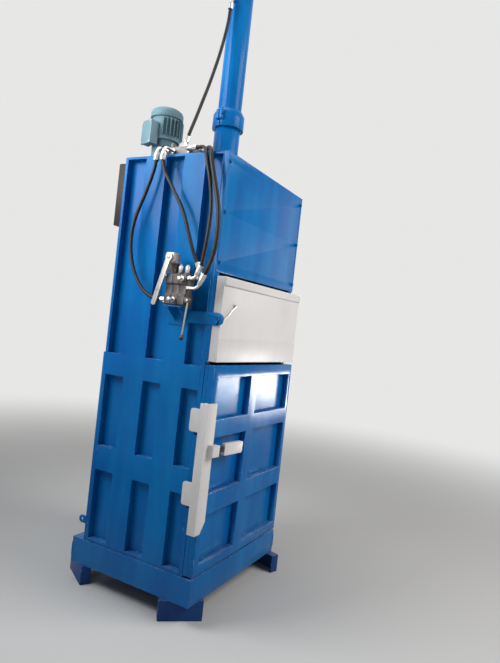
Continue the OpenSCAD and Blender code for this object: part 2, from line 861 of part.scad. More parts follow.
module oil_tank() {
    color([0.2, 0.18, 0.17]) difference() {
        translate([0, 0, tank_z]) linear_extrude(tank_h) tank_outline(0);
        translate([0, 0, tank_z + tank_t]) linear_extrude(tank_h) tank_outline(tank_t);
    }
}

module tank_lid() {
    color([0.2, 0.18, 0.17]) translate([0, 0, tank_z + tank_h]) linear_extrude(tank_t) tank_outline(0);
}

// Filler and breather cap on the tank lid
module filler_cap() {
    neck_r = 24;
    neck_h = 12;
    cap_r = 34;
    cap_h = 26;
    top_h = 8;
    color(dark) translate([tank_x + tank_w / 4, tank_y + tank_d / 2, tank_z + tank_h + tank_t]) {
        cylinder(h = neck_h, r = neck_r);
        translate([0, 0, neck_h]) cylinder(h = cap_h, r = cap_r);
        translate([0, 0, neck_h + cap_h]) cylinder(h = top_h, r1 = cap_r, r2 = neck_r);
    }
}

// Bell housing with a foot flange, open windows to the coupling
module motor_bell() {
    flange_t = 14;
    bell_r = stator_r - 14;
    wall = 10;
    window_r = 22;
    color(teal) translate([motor_x, motor_y, motor_z]) difference() {
        union() {
            cylinder(h = flange_t, r = bell_flange_r);
            cylinder(h = bell_h, r = bell_r);
            translate([0, 0, bell_h - flange_t]) cylinder(h = flange_t, r = stator_r);
        }
        translate([0, 0, -1]) cylinder(h = bell_h - flange_t, r = bell_r - wall);
        for (turn = [45:90:315]) rotate([0, 0, turn]) translate([bell_r, 0, bell_h / 2])
            rotate([0, 90, 0]) cylinder(h = 3 * wall, r = window_r, center = true);
    }
}

// Finned stator frame
module motor_stator() {
    box_half = asin(terminal_w / 2 / stator_r) + 3;
    turns = [for (i = [0:fin_count - 1]) (i + 0.5) * 360 / fin_count];
    color(teal) translate([motor_x, motor_y, stator_z]) {
        cylinder(h = stator_h, r = stator_r);
        for (turn = turns) if (min(turn, 360 - turn) > box_half) rotate([0, 0, terminal_turn + turn])
            translate([stator_r - 2, -fin_t / 2, 10]) cube([fin_h + 2, fin_t, stator_h - 20]);
    }
}

// Domed fan cover with a ring of air slots
module fan_cover() {
    wall = 3;
    dome = 40;
    straight = fan_h - dome;
    slots = 12;
    color(teal) translate([motor_x, motor_y, fan_z]) {
        difference() {
            rotate_extrude($fn = 48) polygon(concat(
                [[0, fan_h], [0, fan_h - wall]],
                [for (a = [80:-20:0]) [(fan_r - wall) * cos(a), straight + (dome - wall) * sin(a)]],
                [[fan_r - wall, 0], [fan_r, 0]],
                [for (a = [0:20:80]) [fan_r * cos(a), straight + dome * sin(a)]]
            ));
            for (i = [0:slots - 1]) rotate([0, 0, i * 360 / slots])
                translate([fan_r * 0.34, -4, fan_h - dome]) cube([fan_r * 0.4, 8, dome + 1]);
        }
        cylinder(h = wall, r = fan_r - wall);
    }
}

// Terminal box on the stator, with the boss for its cable gland on one side
module terminal_box() {
    lid_t = 12;
    lid_edge = 3;
    box_down = 56;
    reach = stator_r + terminal_reach;
    boss_r = 12;
    boss_len = 22;
    boss_at = [reach - 28, -terminal_w / 2, 30];
    bore_depth = 13;
    color(teal) translate([motor_x, motor_y, stator_z - box_down]) rotate([0, 0, terminal_turn]) difference() {
        union() {
            translate([stator_r - 6, -terminal_w / 2, 0]) cube([terminal_reach + 6 - lid_t, terminal_w, terminal_h]);
            translate([reach - lid_t, -terminal_w / 2 - lid_edge, -lid_edge])
                cube([lid_t, terminal_w + 2 * lid_edge, terminal_h + 2 * lid_edge]);
            translate(boss_at) rotate([90, 0, 0]) cylinder(h = boss_len, r = boss_r);
        }
        translate([0, 0, -lid_edge - 1]) rotate([0, 0, -terminal_turn])
            cylinder(h = terminal_h + 2 * lid_edge + 2, r = stator_r);
        translate(boss_at - [0, boss_len - bore_depth, 0]) rotate([90, 0, 0]) cylinder(h = boss_len, r = gland_r);
    }
}

// Gear pump hung under the top plate
module pump() {
    flange_t = 14;
    flange_r = stator_r / 2 + 14;
    pump_w = 76;
    pump_d = 92;
    pump_h = 98;
    end_r = 30;
    color(iron) translate([motor_x, motor_y, body_top - top_plate_t]) {
        translate([0, 0, -flange_t]) cylinder(h = flange_t, r = flange_r);
        translate([-pump_w / 2, -pump_d / 2, -flange_t - pump_h]) cube([pump_w, pump_d, pump_h]);
        translate([0, 0, -2 * flange_t - pump_h]) cylinder(h = flange_t, r = end_r);
    }
}

// Drilled block that the hoses leave from, with a relief cartridge and two plug seats on its top
module manifold() {
    seat_y = 30;
    seat_r = 8;
    seat_depth = 12;
    cartridge_y = 74;
    cartridge_r = 15;
    cartridge_h = 34;
    middle_x = (manifold_lo.x + manifold_hi.x) / 2;
    color(iron) difference() {
        slab(manifold_lo, manifold_hi);
        for (x = [middle_x - 13, middle_x + 13])
            round_z(x, seat_y, manifold_hi.z - seat_depth, manifold_hi.z + 1, seat_r);
    }
    color(iron) round_z(middle_x, cartridge_y, manifold_hi.z, manifold_hi.z + cartridge_h, cartridge_r);
}

// A bent pipe with a nut and a ferrule: starts along +X and turns towards +Z
module elbow(run, bend_r, turn, ferrule) {
    nut_h = 12;
    rotate([0, 90, 0]) cylinder(h = run, r = elbow_r);
    rotate([0, 90, 0]) cylinder(h = min(nut_h, run), r = elbow_r + 5, $fn = 6);
    translate([run, 0, bend_r]) rotate([90, 90, 0]) rotate_extrude(angle = turn)
        translate([bend_r, 0]) circle(elbow_r);
    translate([run + bend_r * sin(turn), 0, bend_r * (1 - cos(turn))])
        rotate([0, 90 - turn, 0]) cylinder(h = ferrule, r = ferrule_r);
}

// A straight fitting along +Z: a nut and a ferrule
module straight_fitting(len) {
    nut_h = 14;
    cylinder(h = nut_h, r = elbow_r + 5, $fn = 6);
    translate([0, 0, nut_h]) cylinder(h = len - nut_h, r = ferrule_r);
}

// Fittings and ferrules at both ends of the hoses, each up to the first or last point of its route
module pipe_fittings() {
    a_start = hose_a_route[0];
    d_start = hose_d_route[0];
    color(steel) {
        for (y = side_ports) translate([manifold_lo.x, y, port_z]) rotate([0, 180, 0])
            elbow(manifold_lo.x - a_start.x - block_bend, block_bend, 90, port_z - block_bend - a_start.z);
        translate([manifold_lo.x, front_port_y, port_z]) rotate([90, 180, 0])
            elbow(manifold_lo.x - d_start.x - small_bend, small_bend, 90, front_port_y - small_bend - d_start.y);
        translate([front_port_x, manifold_lo.y, port_z - 2]) rotate([90, 0, -90])
            elbow(front_elbow[0], front_elbow[1], front_elbow[2], front_elbow[3]);
        translate([top_port.x, top_port.y, manifold_hi.z]) rotate([0, -90, 0]) rotate([180, 0, 0])
            elbow(top_elbow[0], top_elbow[1], top_elbow[2], top_elbow[3]);
        translate([-barrel_port, ram_y, barrel_port_z]) rotate([0, 180, 0])
            elbow(barrel_elbow[0], barrel_elbow[1], barrel_elbow[2], barrel_elbow[3]);
        for (p = valve_ports) translate([-valve_out + p[0], valve_front, shelf_z + p[1]]) rotate([0, 0, -90])
            elbow(p[2], p[3], p[4], p[5]);
        translate([hose_a_end.x, valve_back, hose_a_end.z]) rotate([-90, 0, 0])
            straight_fitting(hose_a_end.y - valve_back);
    }
}

// Valve

// Shelf on the front side rib with two gussets under it
module valve_bracket() {
    back_plate = 6;
    plate_h = 92;
    plate_z = shelf_z - shelf_t - plate_h;
    gusset_t = 6;
    shelf_in = 24;
    gusset_tip = 10;
    gusset_foot = 20;
    color(blue) {
        slab([-half_w - back_plate, bracket_front, plate_z], [-half_w, valve_back + 30, shelf_z - shelf_t]);
        slab([-valve_out - 4, valve_front + 12, shelf_z - shelf_t], [-half_w, valve_back - 2, shelf_z]);
        for (y = [bracket_front + 10, valve_back - 20]) along_y(y, y + gusset_t) polygon([
            [-half_w - back_plate, plate_z + gusset_foot], [-half_w - back_plate, shelf_z - shelf_t],
            [-valve_out + shelf_in, shelf_z - shelf_t], [-valve_out + shelf_in, shelf_z - shelf_t - gusset_tip]
        ]);
    }
}

// Outline of one cast section in (X, Z), from its low outer corner
module section_outline() {
    edge = 8;
    waist = 10;
    w = section_d;
    h = section_h;
    polygon([
        [edge, 0], [w - edge, 0], [w, edge], [w, h * 0.34], [w - waist, h * 0.40], [w - waist, h * 0.6],
        [w, h * 0.66], [w, h - edge], [w - edge, h], [edge, h], [0, h - edge], [0, h * 0.70],
        [waist, h * 0.64], [waist, h * 0.38], [0, h * 0.32], [0, edge]
    ]);
}

// Stacked valve sections, the lever clevis at the front and the lever bonnet on top
module valve_body() {
    seam = 1.5;
    core_in = 14;
    cheek_t = 6;
    cheek_gap = 11;
    cheek_r = 13;
    seat_h = 8;
    seat_r = 19;
    neck_w = 28;
    bonnet_w = 52;
    bonnet_corner = 8;
    color(iron) {
        difference() {
            union() {
                for (i = [0:section_count - 1]) translate([-valve_out, 0, shelf_z])
                    along_y(valve_front + i * section_w + seam, valve_front + (i + 1) * section_w - seam)
                        section_outline();
                slab([-valve_out + core_in, valve_front, shelf_z + 4], [valve_in - core_in, valve_back, valve_top - 6]);
                for (i = [0:section_count - 1])
                    round_z(valve_x, valve_front + (i + 0.5) * section_w, valve_top - 1, valve_top + seat_h, seat_r);
                for (side = [-1, 1]) translate([spool_pivot.x + side * (cheek_gap + cheek_t) / 2, 0, 0])
                    along_x(-cheek_t / 2, cheek_t / 2) {
                        translate([spool_pivot.y, spool_pivot.z - cheek_r])
                            square([valve_front - spool_pivot.y + cheek_r, 2 * cheek_r]);
                        translate([spool_pivot.y, spool_pivot.z]) circle(cheek_r);
                    }
                translate([valve_x - neck_w / 2, side_pivot.y - bonnet_w / 2, valve_top + seat_h])
                    cube([neck_w, bonnet_w, side_pivot.z - valve_top - seat_h]);
                along_x(-valve_out - 6, valve_x + neck_w / 2)
                    translate([side_pivot.y - bonnet_w / 2, side_pivot.z - bonnet_w / 2])
                        round_rect([bonnet_w, bonnet_w], bonnet_corner);
            }
            translate([spool_pivot.x, spool_pivot.y, spool_pivot.z]) rotate([0, 90, 0])
                cylinder(h = 60, r = pivot_r + pin_fit, center = true);
            translate([-valve_out - 7, side_pivot.y, side_pivot.z]) rotate([0, 90, 0])
                cylinder(h = 40, r = pivot_r + pin_fit);
        }
    }
}

// Spool caps, relief cartridge and tie rod nuts
module valve_caps() {
    cap_h = 34;
    color(steel) {
        for (i = [0:section_count - 2])
            translate([valve_x, valve_front + (i + 0.5) * section_w, valve_top + 8]) {
                cylinder(h = cap_h, r = 14);
                translate([0, 0, cap_h]) cylinder(h = 9, r = 9, $fn = 6);
            }
        for (spot = [[0.5, 0.84, 26], [1.5, 0.18, 40]])
            translate([-valve_out, valve_front + spot[0] * section_w, shelf_z + section_h * spot[1]])
                rotate([0, -90, 0]) {
                    cylinder(h = 10, r = 15, $fn = 6);
                    translate([0, 0, 10]) cylinder(h = spot[2], r = 9);
                }
        for (x = [-valve_out + 14, valve_in - 14], z = [15, section_h - 15])
            translate([x, valve_back, shelf_z + z]) rotate([-90, 0, 0]) cylinder(h = 9, r = 8, $fn = 6);
    }
}

// Flat arm with a round end that reaches past the front corner
module catch_arm() {
    arm_back = bracket_front;
    eye_r = 9;
    color(blue) along_x(-half_w - arm_t, -half_w) difference() {
        union() {
            translate([arm_front + arm_h / 2, arm_z]) square([arm_back - arm_front - arm_h / 2, arm_h]);
            translate([arm_front + arm_h / 2, arm_z + arm_h / 2]) circle(arm_h / 2);
        }
        translate([arm_front + arm_h / 2, arm_z + arm_h / 2]) circle(eye_r);
    }
}

// Round rod that hangs from the clevis, its lower end a little to the rear
module spool_lever() {
    hub_w = 10;
    hub_r = 11;
    pin_len = 26;
    bar_r = 5;
    color(steel) translate(spool_pivot) rotate([spool_lever_lean, 0, 0]) {
        rotate([0, 90, 0]) cylinder(h = hub_w, r = hub_r, center = true);
        rotate([0, 90, 0]) cylinder(h = pin_len, r = pivot_r, center = true);
        translate([0, 0, -spool_lever_len]) cylinder(h = spool_lever_len, r = bar_r);
    }
}

module lever_knob() {
    ball_r = 13;
    neck_h = 8;
    color(dark) translate(spool_pivot) rotate([spool_lever_lean, 0, 0]) translate([0, 0, -spool_lever_len]) {
        translate([0, 0, -2 * neck_h]) sphere(ball_r);
        translate([0, 0, -neck_h]) cylinder(h = neck_h, r1 = 9, r2 = 7);
    }
}

// Flat hand lever beside the valve, its hub at the top
module side_lever() {
    hub_r = 22;
    end_r = 15;
    lever_t = 9;
    nut_h = 5;
    nut_r = 9;
    color(steel) translate([side_pivot.x - lever_t / 2, side_pivot.y, side_pivot.z]) {
        rotate([side_lever_lean, 0, 0]) along_x(0, lever_t) {
            circle(hub_r);
            translate([0, -side_lever_len]) circle(end_r);
            polygon([[-hub_r * 0.7, -hub_r * 0.7], [hub_r * 0.7, -hub_r * 0.7],
                     [end_r * 0.95, -side_lever_len + 4], [-end_r * 0.95, -side_lever_len + 4]]);
        }
        rotate([0, 90, 0]) cylinder(h = lever_t + 36, r = pivot_r);
        rotate([0, 90, 0]) translate([0, 0, -nut_h]) cylinder(h = nut_h, r = nut_r, $fn = 6);
    }
}

// Hoses

function unit(v) = v / norm(v);

// Catmull-Rom point between b and c
function spline(a, b, c, d, t) = 0.5 * (2 * b + (c - a) * t + (2 * a - 5 * b + 4 * c - d) * t * t
    + (3 * b - a - 3 * c + d) * t * t * t);

// The route with one more point in the middle of each stretch
function smooth(p) = [for (i = [0:len(p) - 2], t = [0, 0.5])
    spline(p[max(i - 1, 0)], p[i], p[i + 1], p[min(i + 2, len(p) - 1)], t), p[len(p) - 1]];

// Ring of points round a route point, square to the route
function ring(p, along, r, sides) =
    let (u = unit(cross(along, [0.98, 0.17, 0.1])), w = cross(along, u))
    [for (k = [0:sides - 1]) p + r * (cos(360 * k / sides) * u + sin(360 * k / sides) * w)];

// A hose along a route, its two end faces square to the given directions
module hose(route, r, out, into) {
    sides = 8;
    pts = smooth(route);
    last = len(pts) - 1;
    along = [for (i = [0:last]) i == 0 ? out : i == last ? into : unit(pts[i + 1] - pts[i - 1])];
    rings = [for (i = [0:last]) ring(pts[i], along[i], r, sides)];
    polyhedron(
        points = [for (loop = rings, q = loop) q],
        faces = concat(
            [[for (k = [0:sides - 1]) k]],
            [for (i = [0:last - 1], k = [0:sides - 1]) let (a = i * sides, n = (k + 1) % sides)
                [a + k, a + sides + k, a + sides + n, a + n]],
            [[for (k = [sides - 1:-1:0]) last * sides + k]]
        ),
        convexity = 10
    );
}

// Direction of a hose that comes down into a front port of the valve
function port_into(port) = [0, cos(port[4]), -sin(port[4])];

module hose_a() {
    color(dark) hose(hose_a_route, hose_r, [0, 0, -1], [0, -1, 0]);
}

module hose_b() {
    color(dark) hose(hose_b_route, hose_r, [0, 0, -1], port_into(valve_ports[0]));
}

module hose_c() {
    color(dark) hose(hose_c_route, big_hose_r, [-sin(front_elbow[2]), -cos(front_elbow[2]), 0], port_into(valve_ports[1]));
}

module hose_d() {
    color(dark) hose(hose_d_route, hose_r, [0, -1, 0], port_into(valve_ports[2]));
}

module hose_e() {
    color(dark) hose(hose_e_route, hose_r, [sin(top_elbow[2]), 0, cos(top_elbow[2])], [0, 0, 1]);
}

// Hinges

// Fixed knuckles above and below each door knuckle, on one leaf bolted to the side
module hinge_brackets() {
    leaf_front = -body_front + 2;
    leaf_back = front_rib_y - rib_w / 2 + 40;
    color(blue) for (z = hinge_z) translate([0, 0, z]) difference() {
        union() {
            slab([half_w, leaf_front, 0], [half_w + leaf_t, leaf_back, hinge_h]);
            for (up = [0, 2 * (knuckle_h + knuckle_gap)]) translate([hinge_x, hinge_y, up])
                linear_extrude(knuckle_h) {
                    circle(knuckle_r);
                    translate([-11, 0]) square([11 + knuckle_r, leaf_front - hinge_y + 4]);
                }
        }
        translate([hinge_x, hinge_y, -1]) cylinder(h = hinge_h + 2, r = hinge_pin_r + pin_fit);
    }
}

module hinge_pins() {
    head_h = 5;
    color(steel) for (z = hinge_z) {
        round_z(hinge_x, hinge_y, z - 3, z + hinge_h, hinge_pin_r);
        round_z(hinge_x, hinge_y, z + hinge_h, z + hinge_h + head_h, hinge_pin_r + 5);
    }
}

// One moving knuckle with its arm to the door's edge
module door_knuckle(z) {
    arm_w = 24;
    translate([hinge_x, hinge_y, z + knuckle_h + knuckle_gap]) linear_extrude(knuckle_h) difference() {
        union() {
            circle(knuckle_r);
            translate([door_right - hinge_x, -arm_w / 2]) square([hinge_x - door_right, arm_w]);
        }
        circle(hinge_pin_r + pin_fit);
    }
}

module bale_door_knuckles() {
    color(blue) for (i = [0:2]) door_knuckle(hinge_z[i]);
}

module feed_door_knuckles() {
    color(white) for (i = [3:4]) door_knuckle(hinge_z[i]);
}

// Bale door

mid_left = mid_stile_x - mid_stile / 2;
mid_right = mid_stile_x + mid_stile / 2;
door_cols = [[door_left + left_stile, mid_left], [mid_right, door_right - right_stile]];
door_rows = [
    [door_z + bottom_rail, low_rail_z],
    [low_rail_z + low_rail_h, high_rail_z],
    [high_rail_z + high_rail_h, door_top - top_rail]
];
door_windows = [for (c = door_cols, r = door_rows) [c[0], r[0], c[1], r[1]]];

module bale_door_ribs() {
    lo = [door_left, door_z];
    hi = [door_right, door_top];
    color(blue) {
        along_y(door_front, door_front + rib_t) lattice(lo, hi, door_windows);
        along_y(door_front, door_front + rib_d) lattice_walls(lo, hi, door_windows);
    }
}

// Flat skin behind the lattice, with a bar behind each side edge
module bale_door_skin() {
    color(blue) {
        slab([door_left, skin_back - liner_t, door_z], [door_right, skin_back, door_top]);
        slab([door_left, skin_back, door_z], [door_left + edge_bar, door_back, door_top]);
        slab([door_right - edge_bar, skin_back, door_z], [door_right, door_back, door_top]);
    }
}

// Upright slats inside the door, in line with the floor slats
module bale_door_slats() {
    margin = 8;
    color(blue) for (i = [0:slat_count - 1]) {
        x0 = max(-inner_x + i * slat_step, -inner_x + margin);
        x1 = min(-inner_x + i * slat_step + slat_w, inner_x - margin);
        slab([x0, skin_back, door_z + margin], [x1, door_back, door_top - margin]);
    }
}

// Latch

tee_web = 8;
tee_head = 20;
tee_reach = 23;
guide_w = side_leg_back - door_front;
tee_y = door_front + guide_w / 2;

// Plan of the tee that slides in the guides, grown by a clearance
module tee_plan(grow) {
    head_x = side_leg_in + tee_reach - tee_web;
    translate([side_leg_in, tee_y - tee_web / 2 - grow]) square([tee_reach - tee_web + grow, tee_web + 2 * grow]);
    translate([head_x - grow, tee_y - tee_head / 2 - grow]) square([tee_web + 2 * grow, tee_head + 2 * grow]);
}

// Guides on the door's edge that hold the latch bar by its tee
module latch_guides() {
    end = 60;
    color(blue) for (z = [latch_z + end + latch_travel / 2, latch_z + latch_h - end - guide_h])
        translate([0, 0, z]) linear_extrude(guide_h) difference() {
            translate([side_leg_in + latch_fit, tee_y - guide_w / 2]) square([latch_gap - latch_fit, guide_w]);
            tee_plan(latch_fit);
        }
}

lug_starts = [latch_z + low_lug_up, latch_z + low_lug_up + lug_pitch];

// Angle bar with two hooked lugs, its sliding tee and the socket for the handle
module latch_bar() {
    color(white) {
        difference() {
            translate([0, 0, latch_z]) linear_extrude(latch_h) {
                translate([side_leg_out, leg_face]) square([latch_w, latch_t]);
                translate([side_leg_out, leg_face]) square([latch_t, latch_d]);
                tee_plan(0);
            }
            along_y(leg_face - 1, leg_front + 1) polygon([
                [side_leg_out + latch_w + 1, latch_z - 1], [side_leg_out + latch_w + 1, latch_z + latch_cut],
                [side_leg_out + latch_w - latch_cut * 0.7, latch_z - 1]
            ]);
        }
        for (z = lug_starts) {
            along_x(side_leg_out, side_leg_in) translate([side_leg_back - 2 * lug_corner_r, z])
                round_rect([lug_back - side_leg_back + 2 * lug_corner_r, lug_h], lug_corner_r);
            slab([side_leg_in - 1, lug_back - tooth_t, z + lug_h - tooth_h - lug_corner_r],
                 [tooth_x, lug_back, z + lug_h - lug_corner_r]);
        }
        at_handle() difference() {
            translate([0, -socket_d / 2, -socket_h / 2]) cube([socket_len, socket_d + weld_in, socket_h]);
            translate([stem_in, 0, 0]) rotate([0, 90, 0]) cylinder(h = socket_len, r = stem_r);
        }
    }
}

// The handle's frame: its stem along +X, from the outer end of its socket
module at_handle() {
    translate([side_leg_out + socket_in, socket_y, latch_z + handle_up]) rotate([0, handle_tilt, 0]) children();
}

stem_end = grip_x + grip_len - 20;

module latch_stem() {
    color(dark) at_handle() translate([stem_in, 0, 0]) rotate([0, 90, 0])
        cylinder(h = stem_end - stem_in, r = stem_r);
}

// Flat grip with round ends round the stem
module latch_grip() {
    end_r = 14;
    color(white) at_handle() difference() {
        along_y(-grip_t / 2, grip_t / 2) translate([grip_x, -grip_h / 2]) round_rect([grip_len, grip_h], end_r);
        translate([grip_x - 1, 0, 0]) rotate([0, 90, 0]) cylinder(h = stem_end - grip_x + 1, r = stem_r);
    }
}

// Blocks on the side of the post that the lug hooks slide down behind
module latch_keepers() {
    nose_t = 15;
    base_t = 8;
    keeper_h = 68;
    lug_gap = 6;
    color(blue) for (z = lug_starts) translate([0, 0, z + lug_h - tooth_h - lug_corner_r - lug_gap - keeper_h]) {
        slab([-half_w - base_t, -body_front + 2, 0], [-half_w, keeper_back, keeper_h]);
        slab([side_leg_in + 2, keeper_back - nose_t, 0], [-half_w, keeper_back, keeper_h]);
    }
}

// Feed door

module pan_outline(inset) {
    translate([door_left + inset, feed_z + inset])
        square([door_w - 2 * inset, feed_top - feed_z - 2 * inset]);
}

// Folded pan with a rolled ledge along the top and a doubler along the bottom
module feed_door_pan() {
    color(white) {
        along_y(door_front, door_front + feed_t) pan_outline(0);
        along_y(door_front, door_front + feed_d) difference() {
            pan_outline(0);
            pan_outline(feed_t);
        }
        along_x(door_left, door_right) difference() {
            translate([door_front - ledge_d, feed_top - ledge_h]) round_rect([3 * ledge_d, ledge_h], ledge_d);
            translate([door_front, feed_top - ledge_h - 1]) square([3 * ledge_d, ledge_h + 2]);
        }
        slab([door_left, door_front - kick_t, feed_z], [door_right, door_front, feed_z + kick_h]);
    }
}

module feed_door_stiffeners() {
    depth = 30;
    face = door_front + feed_t;
    color(white) for (x = [-door_w / 4, door_w / 4])
        translate([x - feed_rib_w / 2, face, feed_z + feed_t]) linear_extrude(feed_top - feed_z - 2 * feed_t)
            difference() {
                square([feed_rib_w, depth]);
                translate([feed_t, -1]) square([feed_rib_w - 2 * feed_t, depth - feed_t + 1]);
            }
}

// Thin rod on the door's face that points at the eye of the catch arm, with the boss that holds it
module door_hook() {
    rod = 3.5;
    reach = 124;
    rise = 100;
    boss_r = 9;
    start = [door_left + 4, door_front - 3 * rod, arm_z + arm_h * 0.22];
    color(steel) {
        translate(start) rotate([0, atan2(reach, rise), 0]) cylinder(h = norm([reach, rise]), r = rod);
        translate([start.x + reach, door_front, start.z + rise]) rotate([90, 0, 0]) cylinder(h = 4.5 * rod, r = boss_r);
    }
}

// Platen

module platen_bars() {
    color(blue) for (i = [0:slat_count - 1]) {
        x0 = max(-inner_x + i * slat_step, -platen_half);
        x1 = min(-inner_x + i * slat_step + slat_w, platen_half);
        size = [x1 - x0, platen_bar_h];
        translate([x0, 0, platen_z]) along_y(platen_front, platen_back) difference() {
            square(size);
            translate([platen_bar_t, platen_bar_t]) square(size - 2 * [platen_bar_t, platen_bar_t]);
        }
    }
}

// Cross channels with guide shoes at their ends, and the rod's seat
module platen_frame() {
    cross_y = 190;
    cross_w = 80;
    seat_t = 20;
    seat_half = 90;
    boss_h = 34;
    color(blue) {
        for (y = [-cross_y, cross_y]) translate([0, ram_y + y - cross_w / 2, platen_top]) {
            along_x(-platen_half, platen_half) difference() {
                square([cross_w, platen_beam_h]);
                translate([beam_t, -1]) square([cross_w - 2 * beam_t, platen_beam_h - beam_t + 1]);
            }
            for (mx = [0, 1]) mirror([mx, 0, 0])
                slab([platen_half, 0, 0], [inner_x - shoe_fit, cross_w, platen_beam_h]);
        }
        for (x = [-seat_half, seat_half - beam_t]) translate([x, 0, platen_top])
            along_y(ram_y - cross_y + cross_w / 2, ram_y + cross_y - cross_w / 2) square([beam_t, platen_beam_h]);
        difference() {
            union() {
                slab([-seat_half, ram_y - cross_y + cross_w / 2, platen_frame_top - seat_t],
                     [seat_half, ram_y + cross_y - cross_w / 2, platen_frame_top]);
                round_z(0, ram_y, platen_frame_top, platen_frame_top + boss_h, rod_r + 22);
            }
            round_z(0, ram_y, platen_frame_top, platen_frame_top + boss_h + 1, rod_r);
        }
    }
}

// Chromed rod with the piston on its upper end
module piston_rod() {
    color(steel) {
        round_z(0, ram_y, platen_frame_top, piston_z, rod_r);
        round_z(0, ram_y, piston_z, piston_z + piston_len, bore_r - 0.3);
    }
}

base_rails();
feet();
floor_slats();
corner_posts();
side_wall_left();
side_wall_right();
side_liners();
back_liner();
back_ribs();
rear_lugs();
front_cover();
cover_bolts();
feed_jambs();
head_beams();
top_plate();
cylinder_mount();
mount_bolts();
cylinder_barrel();
cylinder_gland();
clamp_collar();
oil_tank();
tank_lid();
filler_cap();
motor_bell();
motor_stator();
fan_cover();
terminal_box();
pump();
manifold();
pipe_fittings();
valve_bracket();
valve_body();
valve_caps();
catch_arm();
hose_a();
hose_b();
hose_c();
hose_d();
hose_e();
hinge_brackets();
hinge_pins();
latch_keepers();
bale_door_ribs();
bale_door_skin();
bale_door_slats();
bale_door_knuckles();
latch_guides();
latch_bar();
latch_stem();
latch_grip();
feed_door_pan();
feed_door_stiffeners();
feed_door_knuckles();
door_hook();
platen_bars();
platen_frame();
piston_rod();
spool_lever();
lever_knob();
side_lever();
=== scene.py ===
import json

import bmesh
import bpy
import numpy as np
from mathutils import Matrix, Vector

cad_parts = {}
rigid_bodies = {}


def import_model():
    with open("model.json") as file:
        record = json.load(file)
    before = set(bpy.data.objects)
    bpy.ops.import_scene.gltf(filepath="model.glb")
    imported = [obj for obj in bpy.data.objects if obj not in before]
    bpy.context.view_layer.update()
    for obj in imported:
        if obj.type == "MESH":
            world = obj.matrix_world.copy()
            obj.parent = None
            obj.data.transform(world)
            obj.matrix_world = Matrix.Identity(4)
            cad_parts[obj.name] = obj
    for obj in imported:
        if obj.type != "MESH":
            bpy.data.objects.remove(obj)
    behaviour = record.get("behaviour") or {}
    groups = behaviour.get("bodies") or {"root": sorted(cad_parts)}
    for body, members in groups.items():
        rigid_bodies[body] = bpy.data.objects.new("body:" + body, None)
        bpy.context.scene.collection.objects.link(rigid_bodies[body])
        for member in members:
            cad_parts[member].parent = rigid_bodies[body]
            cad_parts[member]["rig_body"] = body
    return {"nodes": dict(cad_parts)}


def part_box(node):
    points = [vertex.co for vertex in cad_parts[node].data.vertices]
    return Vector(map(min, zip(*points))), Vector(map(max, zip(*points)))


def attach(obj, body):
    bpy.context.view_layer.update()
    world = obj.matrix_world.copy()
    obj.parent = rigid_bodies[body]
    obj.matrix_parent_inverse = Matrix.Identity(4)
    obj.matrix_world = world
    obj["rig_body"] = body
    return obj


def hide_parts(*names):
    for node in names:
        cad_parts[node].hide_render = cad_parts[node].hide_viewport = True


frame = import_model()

nodes = frame["nodes"]
scene = bpy.context.scene
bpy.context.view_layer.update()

# Camera
# The photograph was taken from the machine's front left at chest height, with a wide lens
# held a few degrees out of level. The place and angles come from a fit to the picture.

camera_place = np.array([-2.9007, -1.9238, 1.6147])
camera_heading, camera_pitch, camera_roll = np.radians([28.525, -0.315, -6.29])
focal_pixels = 538.83
picture_height = 663
sensor = 36.0

view_line = np.array([
    np.cos(camera_heading) * np.cos(camera_pitch),
    np.sin(camera_heading) * np.cos(camera_pitch),
    np.sin(camera_pitch),
])
level_right = np.array([np.sin(camera_heading), -np.cos(camera_heading), 0.0])
level_up = np.cross(level_right, view_line)
picture_right = np.cos(camera_roll) * level_right - np.sin(camera_roll) * level_up
picture_up = np.sin(camera_roll) * level_right + np.cos(camera_roll) * level_up

camera_lens = bpy.data.cameras.new("camera")
camera_lens.sensor_width = sensor
camera_lens.lens = focal_pixels * sensor / picture_height
camera = bpy.data.objects.new("camera", camera_lens)
turn = np.eye(4)
turn[:3, :4] = np.column_stack([picture_right, picture_up, -view_line, camera_place])
camera.matrix_world = Matrix(turn.tolist())
scene.collection.objects.link(camera)
scene.camera = camera

# Studio
# A pale floor that melts into a pale backdrop, wide soft lamps in front, at the left and above,
# and two that show only as mirror images: a streak on the cylinder and glare in the upper panes.

scene.view_settings.view_transform = "Standard"
backdrop = (0.80, 0.80, 0.79, 1)
sky = (0.93, 0.96, 1.0, 1)
sky_strength = 0.18
floor_colour = (0.54, 0.535, 0.525, 1)
floor_reach = 30.0
floor_fade = (2.2, 7.5)


